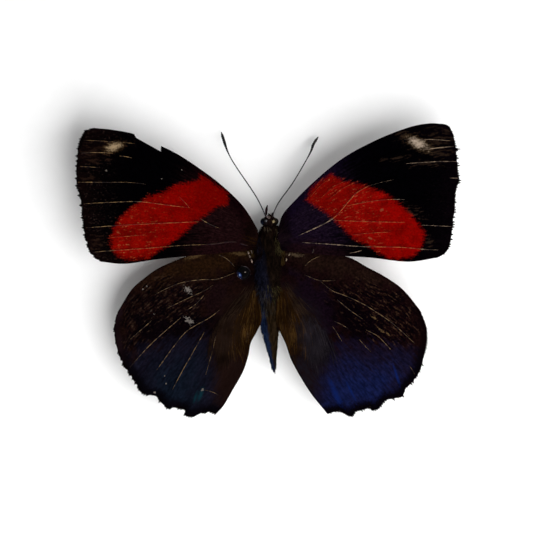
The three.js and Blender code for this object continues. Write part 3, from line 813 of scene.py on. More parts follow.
def wing_patch(edges):
    """Gives the place on a wing at shares from body to outer margin and from front edge to rear edge."""
    front, outer, rear = smooth_line(edges["front"]), smooth_line(edges["outer"]), smooth_line(edges["rear"])

    def patch_place(out, back):
        out, back = np.asarray(out, float)[..., None], np.asarray(back, float)[..., None]
        root = front(0) * (1 - back) + rear(0) * back
        end = front(1) * (1 - back) + rear(1) * back
        between = front(out[..., 0]) * (1 - back) + rear(out[..., 0]) * back
        along = root * (1 - out) + outer(back[..., 0]) * out
        return between + along - root * (1 - out) - end * out

    return patch_place


def line_length(points):
    """The length of a run of straight lines through the points."""
    return sum(math.dist(start, end) for start, end in zip(points, points[1:]))


def sheet_height(set_up, places, out, back):
    """How high a wing's sheet stands at places on it, with its arch and the flutes between its veins."""
    reach = np.abs(places[..., 0])
    arch = set_up["arch"] * np.sin(math.pi * np.minimum(1, reach / set_up["span"]))
    fall = set_up["fall"] * np.maximum(0, -places[..., 1])
    flute = set_up["flute"] * out * np.cos(2 * math.pi * set_up["flutes"] * back)
    return set_up["root"] + set_up["rise"] * reach + arch - fall + flute


def distance_to_line(places, points):
    """The distance of each place from the nearest of the straight lines through the points."""
    nearest = np.full(len(places), np.inf)
    for start, end in zip(np.array(points, float), np.array(points[1:], float)):
        run = end - start
        share = np.clip((places - start) @ run / (run @ run), 0, 1)
        nearest = np.minimum(nearest, np.linalg.norm(places - start - share[:, None] * run, axis=1))
    return nearest


def vein_distance(places, veins):
    """The distance of each place from the nearest vein."""
    return np.min([distance_to_line(places, vein) for _, vein in veins], axis=0)


def depth_inside(places, outline):
    """How far each place lies inside a closed outline, negative outside it."""
    outline = outline + outline[:1]
    is_inside = np.zeros(len(places), bool)
    for (x, y), (next_x, next_y) in zip(outline, outline[1:]):
        crosses = (places[:, 1] < y) != (places[:, 1] < next_y)
        level = x + (places[:, 1] - y) * (next_x - x) / ((next_y - y) or 1)
        is_inside ^= crosses & (places[:, 0] < level)
    return np.where(is_inside, 1, -1) * distance_to_line(places, outline)


def patch_depth(places, patches):
    """One in the middle of an oval patch, none at its edge and less beyond, for the nearest patch."""
    depth = np.full(len(places), -2.0)
    for x, y, half_length, half_width, turn in patches:
        away = places - (x, y)
        along = away @ (math.cos(turn), math.sin(turn)) / half_length
        across = away @ (-math.sin(turn), math.cos(turn)) / half_width
        depth = np.maximum(depth, 1 - np.hypot(along, across))
    return depth


def wing_sheet(edges, set_up, veins, chance):
    """A wing's sheet as a grid laid on its patch, frayed at the margin and raised along its veins."""
    sheet = bmesh.new()
    sheet.loops.layers.uv.new("UVMap")
    cells_out, cells_back = SHEET_CELLS
    bmesh.ops.create_grid(sheet, x_segments=cells_out, y_segments=cells_back, size=0.5, calc_uvs=True)
    grid = np.array([corner.co for corner in sheet.verts])
    out = grid[:, 0] + 0.5
    back = grid[:, 1] + 0.5 if edges["outer"][0][0] < 0 else 0.5 - grid[:, 1]
    patch = wing_patch(edges)
    places = patch(out, back)
    knots = np.linspace(0, 1, int(line_length(edges["outer"]) / FRAY_STEP))
    fray = np.interp(back, knots, [chance.uniform(-FRAY_DEPTH, FRAY_DEPTH) for _ in knots])
    outward = places - patch(out - OUTWARD_STEP, back)
    outward /= np.linalg.norm(outward, axis=1)[:, None] + 1e-9
    places += outward * (fray * np.clip((out - FRAY_SHARE) / (1 - FRAY_SHARE), 0, 1))[:, None]
    ridge = RIDGE_HEIGHT * np.exp(-((vein_distance(places, veins) / RIDGE_WIDTH) ** 2))
    height = sheet_height(set_up, places, out, back) + SHEET_THICKNESS / 2 + ridge
    for corner, (x, y), z in zip(sheet.verts, places, height):
        corner.co = (x, y, z)
    return sheet


def mark_sheet(sheet, marks):
    """Writes the measures of each kind of marking at the corners of a wing's sheet."""
    for name, measures in marks.items():
        layer = sheet.verts.layers.float.new(name)
        for corner, measure in zip(sheet.verts, measures):
            corner[layer] = measure


def sheet_piece(name, sheet, top, under):
    """Gives a wing's sheet its thickness, one finish above and another below."""
    shown = mesh_piece(name, sheet, top, under)
    wall = shown.modifiers.new("sheet", "SOLIDIFY")
    wall.thickness = SHEET_THICKNESS * MM
    wall.offset = -1
    wall.material_offset = 1
    wall.material_offset_rim = 0
    return shown


def vein_strands(surface, veins, chance, band=(), number=0):
    """Bare veins as thin uneven rods laid along a wing's upper face, stained where they cross its band."""
    strands = []
    for thickness, vein in veins:
        line = smooth_line(vein)
        steps = max(4, int(math.dist(vein[0], vein[-1]) / VEIN_STEP))
        places, radii = [], []
        for share in np.linspace(0, 1, steps):
            x, y = line(share)
            hit = surface.ray_cast(Vector((x, y, ABOVE_WINGS)), DOWN)[0]
            if hit is not None:
                places.append(hit)
                taper = min(1, VEIN_END + VEIN_SWELL * min(share, 1 - share))
                radii.append(VEIN_RADIUS * thickness * taper * chance.uniform(*VEIN_UNEVENNESS))
        flat = np.array([place[:2] for place in places])
        stained = depth_inside(flat, band) > 0 if band else np.zeros(len(places), bool)
        start = 0
        for end in range(1, len(places)):
            if end == len(places) - 1 or stained[end] != stained[start]:
                finish_number = 1 if stained[start] else number
                strands.append((places[start:end + 1], radii[start:end + 1], finish_number))
                start = end
    return strands


def fringe_strands(edges, set_up, chance):
    """The fringe of long scales along a wing's outer margin, worn to pointed tufts of uneven length."""
    patch = wing_patch(edges)
    margin = line_length(edges["outer"])
    tufts = [TUFT_LENGTH * chance.random() for _ in range(int(margin / TUFT_WIDTH) + 1)]
    strands = []
    for number in range(int(margin / FRINGE_SPACING)):
        along = (number + chance.random()) * FRINGE_SPACING
        tuft, aside = divmod(along / TUFT_WIDTH, 1)
        aside -= 0.5
        shares = np.array([FRINGE_ROOT, 1])
        backs = np.full(2, along / margin)
        places = patch(shares, backs)
        heights = sheet_height(set_up, places, shares, backs)
        root, rim = (Vector((*place, height)) for place, height in zip(places, heights))
        ahead = (rim - root).normalized()
        beside = ahead.cross(Vector((0, 0, 1)))
        reach = FRINGE_LENGTH + tufts[int(tuft)] * (1 - TUFT_POINT * abs(aside))
        tip = rim + ahead * reach - beside * TUFT_PINCH * aside * TUFT_WIDTH
        tip.z += chance.uniform(-FRINGE_SWAY, FRINGE_SWAY)
        strands.append(([root, rim, tip], [FRINGE_RADIUS, FRINGE_RADIUS, FRINGE_RADIUS * FRINGE_TIP], 0))
    return strands


def wing_hairs(edges, set_up, coat, chance):
    """Fine hairs of a coat that lie outward on a wing, leaning to its rear."""
    count, outs, backs, length, lean, numbers = coat
    patch = wing_patch(edges)
    strands = []
    for _ in range(count):
        start = max(0, chance.triangular(*outs))
        out = start + np.array(HAIR_SHARES) * chance.uniform(*WING_HAIR_LENGTHS) * length
        start = chance.triangular(*backs)
        back = start + np.array(HAIR_SHARES) * chance.uniform(-WING_HAIR_SWAY, WING_HAIR_SWAY)
        back = np.minimum(back + lean * (out - out[0]), REAR_LIMIT)
        flat = patch(out, back)
        lifts = np.array(HAIR_LIFTS) * chance.uniform(*WING_HAIR_LIFTS)
        heights = sheet_height(set_up, flat, out, back) + SHEET_THICKNESS / 2 + lifts
        places = np.column_stack([flat, heights])
        strands.append((places, hair_radii(WING_HAIR_RADIUS), chance.choice(numbers)))
    return strands


# The grain of a wing's scales: fine dust, soft clouds, and streaks and short dashes that run from the body to
# the margin.
GRAIN_RUNS = {"Streak": 7, "Dash": 24}
GRAIN_SIZES = {"Dust": 0.24, "Cloud": 1.6}
scale_grain, grain_in, grain_out = new_group(
    "scale_grain", {"Streaks": NUMBER},
    {"Dust": NUMBER, "Cloud": NUMBER, "Streak": NUMBER, "Dash": NUMBER, "Tone": COLOUR})
grain_uv = add_node(scale_grain, "ShaderNodeTexCoord").outputs["UV"]
for grain_name, runs in GRAIN_RUNS.items():
    run_size = add_node(scale_grain, "ShaderNodeCombineXYZ", {0: runs, 1: grain_in["Streaks"]}).outputs[0]
    run_place = worked_places(scale_grain, "MULTIPLY", grain_uv, run_size)[0]
    scale_grain.links.new(cloudy(scale_grain, 1 / MM, 3, run_place), grain_out[grain_name])
for grain_name, size in GRAIN_SIZES.items():
    scale_grain.links.new(cloudy(scale_grain, size), grain_out[grain_name])
grain_tone = eased(scale_grain, cloudy(scale_grain, 0.3), 0, 1, 0.55, 1.5)
scale_grain.links.new(grain_tone, grain_out["Tone"])


def roughened(tree, value, grain, amount):
    """A measure shifted up and down by the grain, to break an edge up."""
    return worked(tree, "ADD", value, worked(tree, "MULTIPLY_ADD", grain, amount, -amount / 2))


def marked(tree, grain, name, **amounts):
    """The measure that a wing's sheet carries under a name, roughened by amounts of the grain."""
    value = add_node(tree, "ShaderNodeAttribute", attribute_name=name).outputs["Fac"]
    for grain_name, amount in amounts.items():
        value = roughened(tree, value, grain[grain_name], amount)
    return value


def specked(tree, grain, dust, dash):
    """Specks where the dust and the dashes both pass from start to end."""
    return worked(tree, "MULTIPLY", eased(tree, grain["Dust"], *dust), eased(tree, grain["Dash"], *dash))


def scale_finish(name, streaks, shades):
    """A finish of dry scales with its node tree, inputs, grain and shades."""
    finish, tree, sockets = new_finish(name, 1, 0)
    grain = add_node(tree, "ShaderNodeGroup", {"Streaks": streaks}, node_tree=scale_grain).outputs
    add_relief(tree, sockets, worked(tree, "ADD", grain["Dust"], grain["Streak"]), 0.03, 0.6)
    return finish, tree, sockets, grain, {key: (*colour, 1) for key, colour in shades.items()}


def forewing_finish(name, shades, rub_start, rub_end):
    """Black ground, brown to the tip and tinted at the root, under the cream spot and the red band, which is
    rubbed more and more from one distance off the body to another."""
    finish, tree, sockets, grain, shade = scale_finish(name, 60, shades)
    reach = marked(tree, grain, "reach")
    root_tone = laid(tree, shade["root"], shade["root_streak"], grain["Dash"], 0.2, 1)
    root_tone = laid(tree, root_tone, shade["root_rear"], marked(tree, grain, "rear", Streak=1.6), 2.4, 0.6)
    root_tone = laid(tree, root_tone, shade["root_front"], marked(tree, grain, "front", Streak=1), 2, 0.5)
    root_tone = laid(tree, root_tone, shade["root_end"], reach, 4, 2.2)
    rim = marked(tree, grain, "margin", Dash=6, Dust=3)
    colour = laid(tree, shade["black"], shade["brown"], rim, 4, -1.5)
    colour = laid(tree, colour, root_tone, marked(tree, grain, "reach", Streak=4), 14, 8)
    colour = toned(tree, colour, grain["Tone"])
    near_margin = eased(tree, marked(tree, grain, "margin"), 7, 1)
    specks = worked(tree, "MULTIPLY", specked(tree, grain, (0.52, 1), (0.3, 0.8)), near_margin)
    colour = mixed(tree, specks, colour, shade["speck"])
    colour = laid(tree, colour, shade["worn"], marked(tree, grain, "dusty", Dash=2.2, Dust=0.8), 0.12, 1.2)
    cream = marked(tree, grain, "cream", Dust=0.5, Dash=0.5)
    colour = laid(tree, colour, shade["tan"], cream, -0.55, 0.35)
    colour = laid(tree, colour, shade["cream"], cream, -0.1, 1)
    red_tone = laid(tree, shade["red"], shade["deep_red"], grain["Cloud"], 0.2, 0.9)
    red_tone = laid(tree, red_tone, shade["deep_red"], reach, 13, 8.5)
    rubbed = worked(tree, "ADD", specked(tree, grain, (0.4, 1), (0.55, 1)), 0.012)
    rubbed = worked(tree, "MULTIPLY", rubbed, eased(tree, reach, rub_start, rub_end, 0.12, 1))
    red_tone = toned(tree, mixed(tree, rubbed, red_tone, shade["orange"]), grain["Tone"], 0.4)
    colour = laid(tree, colour, red_tone, marked(tree, grain, "band", Dust=0.45, Dash=0.55), -0.4, 0.4)
    colour = laid(tree, colour, shade["fleck"], marked(tree, grain, "fleck", Dust=0.6), 0, 0.7)
    tree.links.new(colour, sockets["Base Color"])
    return finish


def under_finish(name, shades):
    """The duller underside, crossed by fine dark lines, with a faded band where the upper side has one."""
    finish, tree, sockets, grain, shade = scale_finish(name, 60, shades)
    colour = laid(tree, shade["ground"], shade["dusk"], grain["Cloud"], 0, 1)
    waves = worked(tree, "MULTIPLY", marked(tree, grain, "margin", Cloud=1.6), 2.2)
    lines = roughened(tree, worked(tree, "SINE", waves, 0), grain["Dust"], 0.5)
    colour = laid(tree, colour, shade["line"], lines, 0.45, 1)
    colour = laid(tree, colour, shade["band"], marked(tree, grain, "band", Dust=0.8), -0.3, 0.5)
    colour = laid(tree, colour, shade["line"], marked(tree, grain, "vein"), 0.16, 0.05)
    tree.links.new(toned(tree, colour, grain["Tone"]), sockets["Base Color"])
    return finish


def vein_finish(name, dark, pale):
    """Horn of a bare vein, pale where it is rubbed clean and dark where scales still cling to it."""
    finish, tree, sockets = new_finish(name, 0.8, 0.05)
    tree.links.new(blotched(tree, 0.6, 0.2, 0.9, dark, pale), sockets["Base Color"])
    return finish


tan_vein = vein_finish("tan_vein", (0.012, 0.007, 0.0035), (0.17, 0.1, 0.037))
pale_vein = vein_finish("pale_vein", (0.024, 0.016, 0.011), (0.2, 0.14, 0.09))
stained_vein = vein_finish("stained_vein", (0.12, 0.006, 0.002), (0.26, 0.062, 0.015))
root_vein = vein_finish("root_vein", (0.0090, 0.0022, 0.0016), (0.0190, 0.0082, 0.0042))
fringe_coat = hair_finish("fringe_coat", (0.002, 0.0009, 0.001))
rust_hair = hair_finish("rust_hair", (0.0055, 0.0021, 0.0018))
violet_hair = hair_finish("violet_hair", (0.0055, 0.0025, 0.0044))
dusk_hair = hair_finish("dusk_hair", (0.0095, 0.0048, 0.0062))
gold_hair = hair_finish("gold_hair", (0.0160, 0.0066, 0.0014))
bright_hair = hair_finish("bright_hair", (0.052, 0.0255, 0.0065))
left_forewing_scales = forewing_finish("left_forewing_scales", {
    "black": (0.0003, 0.0002, 0.0004),
    "brown": (0.0025, 0.0009, 0.0010),
    "root": (0.0038, 0.0010, 0.0013),
    "root_streak": (0.0098, 0.0034, 0.0037),
    "root_front": (0.0026, 0.0005, 0.0009),
    "root_rear": (0.0068, 0.0019, 0.0023),
    "root_end": (0.0048, 0.0013, 0.0013),
    "speck": (0.022, 0.0125, 0.0105),
    "worn": (0.0115, 0.0054, 0.0036),
    "tan": (0.02, 0.0105, 0.0045),
    "cream": (0.28, 0.2, 0.115),
    "red": (0.138, 0.0006, 0.0002),
    "deep_red": (0.094, 0.0003, 0.0001),
    "orange": (0.23, 0.066, 0.024),
    "fleck": (0.14, 0.12, 0.1),
}, 13, 20)
right_forewing_scales = forewing_finish("right_forewing_scales", {
    "black": (0.0003, 0.0002, 0.0005),
    "brown": (0.0012, 0.0005, 0.0011),
    # The violet of this wing's root shades is painted iridescent sheen.
    "root": (0.0030, 0.0013, 0.0044),
    "root_streak": (0.0082, 0.0042, 0.0098),
    "root_front": (0.0030, 0.0014, 0.0056),
    "root_rear": (0.0056, 0.0019, 0.0030),
    "root_end": (0.0022, 0.0007, 0.0017),
    "speck": (0.004, 0.0018, 0.0026),
    "worn": (0.012, 0.0068, 0.0045),
    "tan": (0.03, 0.018, 0.009),
    "cream": (0.32, 0.25, 0.19),
    "red": (0.154, 0.0006, 0.0003),
    "deep_red": (0.106, 0.0003, 0.0001),
    "orange": (0.27, 0.070, 0.030),
    "fleck": (0.17, 0.035, 0.016),
}, 19, 13)
forewing_under = under_finish("forewing_under", {
    "ground": (0.03, 0.018, 0.012),
    "dusk": (0.014, 0.0085, 0.0065),
    "line": (0.006, 0.0035, 0.003),
    "band": (0.13, 0.022, 0.012),
})

FOREWINGS = (
    ("left", LEFT_FOREWING, LEFT_BAND, LEFT_CREAM, LEFT_DUSTY, LEFT_FOREWING_FLECKS, LEFT_FOREWING_VEINS,
     left_forewing_scales),
    ("right", RIGHT_FOREWING, RIGHT_BAND, RIGHT_CREAM, RIGHT_DUSTY, RIGHT_FOREWING_FLECKS,
     RIGHT_FOREWING_VEINS, right_forewing_scales),
)
wing_chance = random.Random(67)
for name, edges, band, cream, dusty, flecks, veins, scales in FOREWINGS:
    sheet = wing_sheet(edges, FOREWING_SET, veins, wing_chance)
    if name == "left":
        for start, end in zip(CHIP, CHIP[1:4]):
            across = Vector((end[1] - start[1], start[0] - end[0], 0))
            whole = sheet.verts[:] + sheet.edges[:] + sheet.faces[:]
            bmesh.ops.bisect_plane(sheet, geom=whole, plane_co=(*start, 0), plane_no=across)
        centres = np.array([face.calc_center_median()[:2] for face in sheet.faces])
        gone = [face for face, depth in zip(sheet.faces, depth_inside(centres, CHIP)) if depth > 0]
        bmesh.ops.delete(sheet, geom=gone, context="FACES")
    places = np.array([corner.co[:2] for corner in sheet.verts])
    mark_sheet(sheet, {
        "band": depth_inside(places, band),
        "cream": patch_depth(places, cream),
        "dusty": patch_depth(places, dusty),
        "fleck": patch_depth(places, flecks),
        "margin": distance_to_line(places, edges["outer"]),
        "vein": vein_distance(places, veins),
        "reach": np.abs(places[:, 0]),
        "front": distance_to_line(places, edges["front"]),
        "rear": distance_to_line(places, edges["rear"]),
    })
    surface = BVHTree.FromBMesh(sheet)
    vein_rods = vein_strands(surface, veins, wing_chance, band)
    if name == "left":
        vein_rods += vein_strands(surface, LEFT_ROOT_VEINS, wing_chance, number=2)
    bare_vein = tan_vein if name == "left" else pale_vein
    vein_piece = strand_piece(f"{name}_forewing_veins", vein_rods, [bare_vein, stained_vein, root_vein], 1)
    fringe = fringe_strands(edges, FOREWING_SET, wing_chance)
    fringe_piece = strand_piece(f"{name}_forewing_fringe", fringe, [fringe_coat])
    hairs = wing_hairs(edges, FOREWING_SET, ROOT_HAIRS, wing_chance)
    # The right wing's violet and dusky root hair carries the same painted sheen as its root.
    root_hairs = (rust_hair, gold_hair) if name == "left" else (violet_hair, dusk_hair)
    hair_piece = strand_piece(f"{name}_forewing_hair", hairs, root_hairs)
    wing_piece = sheet_piece(f"{name}_forewing_sheet", sheet, scales, forewing_under)
    for piece in (wing_piece, vein_piece, fringe_piece, hair_piece):
        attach(piece, "root")
    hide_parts(f"{name}_forewing")

# Hindwings: the lower pair, rounder and scalloped, with the same sheet, veins and scales. They are brown,
# golden at the front edge, with long silky hair along the body, a dark blue field at the rear and worn brown
# scales between. The pin has pierced the left one. The blue field's iridescent sheen is painted in, far
# brighter on the right wing, with streaks of painted sheen.
LEFT_HINDWING = {
    "front": [(-1.5, 3.3), (-5, 3), (-9, 2.8), (-12.2, 1.8), (-15.5, 0.4), (-17.7, -1.1), (-19.7, -2.9),
              (-21.6, -6)],
    "outer": [(-21.6, -6), (-22.1, -8.5), (-21.6, -11.6), (-20.5, -14.1), (-19.2, -15.9), (-18.3, -17.4),
              (-17.2, -18), (-16.1, -18.2), (-15.1, -19.3), (-14.1, -20.05), (-13.5, -19.85), (-12, -20.2),
              (-11.8, -20.9), (-10.75, -21.2), (-9.5, -20.7), (-8.1, -20.55), (-7.3, -20.8)],
    "rear": [(-1, -2.9), (-0.75, -7), (-1.4, -8.8), (-2.35, -10.6), (-2.7, -12.4), (-3.5, -14.8),
             (-4.9, -17.3), (-6.3, -19.7), (-7.3, -20.8)],
}
RIGHT_HINDWING = {
    "front": [(1.8, 3.2), (5, 2.9), (9, 2.6), (12.2, 1.7), (14.4, 0.5), (17.5, -1.2), (19.9, -3),
              (22.1, -5.7)],
    "outer": [(22.1, -5.7), (23.1, -8.4), (23, -11.2), (22.2, -14.4), (21.25, -16), (20.2, -17),
              (19.6, -18.2), (18.5, -18.6), (17.3, -18.85), (16.7, -19.4), (16, -20.2), (15.1, -20.2),
              (14.8, -20), (12.85, -20.5), (12.5, -21.1), (11.9, -21.2), (11.4, -20.9), (10.3, -20.5),
              (8.7, -20.8)],
    "rear": [(1.4, -3.2), (1.25, -7.3), (1.9, -9), (2.7, -10.7), (3.5, -13), (4.9, -15.6), (6.5, -18.1),
             (8.7, -20.8)],
}
HINDWING_SET = {"root": 4.15, "rise": 0.02, "arch": 0.3, "span": 23.4, "fall": 0.03, "flutes": 6,
                "flute": 0.1}
LEFT_AREAS = {
    "blue": [(-20.8, -12), (-16.5, -9.8), (-12, -9), (-8, -8.6), (-5.2, -11), (-5.6, -16), (-6.2, -25),
             (-20.8, -25)],
    "gold": [(-2.4, 2.6), (-9, 2.8), (-14, 1), (-17, -1.2), (-18.6, -2.6), (-15, -1.9), (-9, -0.6),
             (-5, 0.4)],
    "lined": [(-1.2, -3), (-3.2, -4.5), (-4.2, -9), (-4.2, -12), (-2, -12.4), (-0.5, -7)],
    "hairy": [(-1, -2), (-5.5, -4.5), (-7, -9), (-7.2, -14), (-7, -19), (-6, -21), (-3, -17), (-1.5, -12),
              (0, -7)],
    "violet": [(-4.5, -1.2), (-8, -2.2), (-10, -5), (-8.5, -7.5), (-6.5, -7)],
    "dark": [(-18.5, -7.4), (-15, -6.8), (-11, -7), (-7, -7.4), (-6.6, -9.8), (-10, -10.6), (-14, -10.9),
             (-18, -10.8)],
    "worn": [(-21.8, -8), (-20.4, -4.5), (-17.5, -1.6), (-13, -0.8), (-8.5, -2.5), (-9.5, -6), (-13, -9),
             (-17, -11.4), (-21, -11.5)],
}
RIGHT_AREAS = {
    "blue": [(5, -13.5), (7.6, -11.4), (11, -9.6), (15, -10.2), (19.5, -10.4), (22.5, -11.4), (23, -14),
             (21, -25), (4, -25), (4.2, -17)],
    "gold": [(3, 2.3), (9, 2.4), (14, 0.4), (18, -2), (15, -2.2), (10, -0.6), (6, 0.6)],
    "lined": [(1.2, -2.6), (3.4, -2.8), (4.8, -6), (5, -9), (4.4, -11.5), (2.2, -11.5), (0.8, -7.3)],
    "hairy": [(1, -2.5), (3.6, -3), (6.8, -6), (8.1, -9), (8.2, -13), (7.2, -16), (6.4, -19), (5, -18),
              (3, -13), (0.5, -7)],
    "violet": [(3.4, -0.4), (7, -1.2), (10, -4), (10.6, -8.5), (8.5, -9.5), (6, -6)],
    "dark": [(9.6, -2.8), (12.5, -4.2), (15.5, -6.8), (16.4, -9.8), (12.5, -10.6), (10.5, -7.8), (9.2, -5)],
    "worn": [(8.5, -2.4), (13, -1.4), (18, -2.4), (21.4, -5.8), (22.4, -9), (21.5, -11), (17, -11.6),
             (12, -9)],
}
LEFT_HINDWING_FLECKS = [(-11.5, -2.9, 0.8, 0.42, -0.8), (-11.3, -7.4, 0.8, 0.45, -0.6),
                        (-16.9, -6, 0.16, 0.13, 0), (-16.4, -6.4, 0.15, 0.13, 0), (-18, -2.8, 0.2, 0.12, 0.6),
                        (-17.4, -2.3, 0.18, 0.12, 0.6), (-9.4, -17.4, 0.28, 0.16, 0.8),
                        (-14.8, -15.3, 0.16, 0.14, 0), (-14.6, -16.5, 0.16, 0.14, 0),
                        (-16.3, -17.8, 0.18, 0.12, 0)]
RIGHT_HINDWING_FLECKS = [(16.5, -8.7, 0.8, 0.16, -0.7), (15.5, -6.9, 0.7, 0.14, -0.6),
                         (17.6, -9.3, 0.7, 0.14, -0.8)]
# Streaks of painted sheen on the blue field, as centre, half length, half width and turn.
LEFT_PAINTED_SHEEN = [(-9.65, -18.1, 0.9, 0.26, 1.2), (-10.4, -18.5, 0.7, 0.2, 1.2)]
LEFT_PALE = [(-4, 2.35, 1.5, 0.3, -0.05), (-10.5, 2, 1.6, 0.35, 0.3)]
RIGHT_PALE = [(4.1, 2.2, 1.3, 0.32, -0.1)]
# Painted sheen streaks on the right wing's blue field.
RIGHT_PAINTED_SHEEN = [(10.1, -18.3, 2, 0.34, -1.16), (12.2, -17.6, 1.2, 0.14, -1.1), (18.9, -15.5, 1.5, 0.16, -1.25)]
LEFT_HINDWING_VEINS = [
    (0.9, [(-7, 2.2), (-5.8, 1.6), (-4.7, 0.5)]),
    (1, [(-4.7, -0.4), (-7.2, -1.3), (-9.6, -1.4), (-12.3, -1.8), (-14.6, -2.7), (-16.3, -3.6)]),
    (0.9, [(-7.9, -2.2), (-9.1, -3), (-11.9, -4.3), (-14.4, -5.5)]),
    (0.9, [(-9.1, -3.6), (-10.3, -4.9), (-11.6, -5.8)]),
    (0.8, [(-16.7, -7.3), (-18.3, -8.7), (-19.9, -10.1)]),
    (1, [(-12.5, -6.9), (-14.7, -8.8), (-17.2, -11.1), (-19.9, -14.1)]),
    (1, [(-6.9, -5.8), (-8.3, -6.9), (-10.3, -8), (-11.9, -9.1), (-13.7, -11.3), (-16, -14.5)]),
    (1, [(-9.1, -9), (-10.9, -12.2), (-12.1, -14.3), (-13.7, -17.3)]),
    (0.9, [(-7.4, -9.5), (-8, -12), (-8.9, -15.2)]),
    (0.45, [(-9.2, -17.4), (-8, -17.7), (-7, -18.2)]),
    (1.5, [(-2.75, -7.1), (-2.8, -8.8), (-2.95, -10.6)]),
]
RIGHT_HINDWING_VEINS = [
    (0.9, [(7.6, 2), (6.4, 1.4), (5.5, 0.6)]),
    (0.7, [(5.5, -0.7), (7.6, -1.5), (10, -1.5)]),
    (1, [(7.6, -1.5), (9.5, -3), (11.3, -3.7), (13.9, -4.9), (15.7, -6), (18.3, -7.8), (21.5, -10.7)]),
    (0.9, [(10.2, -4.3), (12, -5.8), (13.9, -7.1)]),
    (0.9, [(9.7, -7.4), (10.8, -7.9), (11.8, -8.5)]),
    (0.6, [(9.5, -8.1), (10.2, -9.2), (10.9, -10.4)]),
    (0.9, [(13.4, -10.1), (14.2, -11), (15.1, -11.9)]),
    (0.9, [(14.4, -8.7), (16.2, -9.7), (18, -11.6)]),
    (0.7, [(20.6, -13.8), (21.1, -14.5), (21.5, -15.2)]),
    (1.5, [(3.5, -7), (3.6, -8), (3.65, -9)]),
]
# The coats of hair along the body: silky, silky further out, bright along the fold as its painted highlight,
# and straw.
HINDWING_HAIRS = (
    (620, (0, 0.48), (0.64, 1.02), 0.14, 0.8, (0, 0, 0, 0, 4, 4, 1)),
    (620, (0.24, 0.58), (0.6, 0.86), 0.13, 0.6, (2, 3, 3)),
    # Bright hair along the fold, painting the fold's highlight.
    (45, (0.27, 0.34), (0.8, 0.86), 0.12, 0.87, (1,)),
    (60, (0.05, 0.38), (0.54, 0.72), 0.12, 0.27, (5, 5, 4)),
)
PIN_AT = (-3.4, -0.4)
PIN_HOLE_RADIUS = 0.3


def hindwing_finish(name, shades):
    """Brown ground, golden in front and worn in flecks, under the blue field, the hairy parts and the rim."""
    finish, tree, sockets, grain, shade = scale_finish(name, 70, shades)
    colour = laid(tree, shade["brown"], shade["dark"], grain["Cloud"], 0.2, 1.1)
    colour = laid(tree, colour, shade["violet"], marked(tree, grain, "violet", Cloud=2), -0.8, 1)
    colour = laid(tree, colour, shade["gold"], marked(tree, grain, "gold", Cloud=2.6), -1.6, 1.6)
    worn_area = eased(tree, marked(tree, grain, "worn", Cloud=2.5), -1, 1)
    dark_area = eased(tree, marked(tree, grain, "dark", Cloud=2), -1, 0.9)
    rubbed = roughened(tree, grain["Dash"], grain["Dust"], 0.4)
    for key, area, start, end in (("dark", worn_area, 0.6, 0.2), ("worn", worn_area, 0.6, 1),
                                  ("dark", dark_area, 1.1, 0.7)):
        share = worked(tree, "MULTIPLY", area, eased(tree, rubbed, start, end))
        colour = mixed(tree, share, colour, shade[key])
    colour = toned(tree, colour, grain["Tone"])
    colour = laid(tree, colour, shade["pale"], marked(tree, grain, "pale", Dust=1), -0.2, 0.8)
    # The blue field: the wing's own dark blue scales with their iridescent sheen painted in, far brighter on
    # the right wing.
    field = marked(tree, grain, "blue", Cloud=1.8, Streak=2)
    blue_and_sheen_tone = laid(tree, shade["navy"], shade["blue"], field, 1.5, 7)
    blue_and_sheen_tone = toned(tree, blue_and_sheen_tone, eased(tree, grain["Dash"], 0, 1, 0.65, 1.4))
    blue_and_sheen_tone = toned(tree, blue_and_sheen_tone, grain["Tone"], 0.4)
    colour = laid(tree, colour, blue_and_sheen_tone, field, -0.8, 2.4)
    # Streaks of painted sheen laid on the blue field.
    colour = laid(tree, colour, shade["painted_sheen"], marked(tree, grain, "painted_sheen", Dust=0.5), -0.9, 0.9)
    inner_tone = laid(tree, shade["brown"], shade["inner"], grain["Dash"], -0.3, 0.9)
    colour = laid(tree, colour, inner_tone, marked(tree, grain, "hairy", Streak=1.6), -1.8, 1)
    lined_tone = laid(tree, shade["brown"], shade["lined"], grain["Dash"], -0.2, 0.9)
    colour = laid(tree, colour, lined_tone, marked(tree, grain, "lined", Streak=1.4), -0.8, 0.8)
    is_rear = eased(tree, marked(tree, grain, "blue"), -1, 1)
    rim_tone = mixed(tree, is_rear, shade["rim"], shade["rear_rim"])
    rim_width = worked(tree, "MULTIPLY_ADD", is_rear, 0.7, 0.9)
    colour = laid(tree, colour, rim_tone, marked(tree, grain, "margin", Dust=0.6), rim_width, 0.4)
    colour = laid(tree, colour, shade["fleck"], marked(tree, grain, "fleck", Dust=1.5), 0, 0.7)
    tree.links.new(colour, sockets["Base Color"])
    return finish


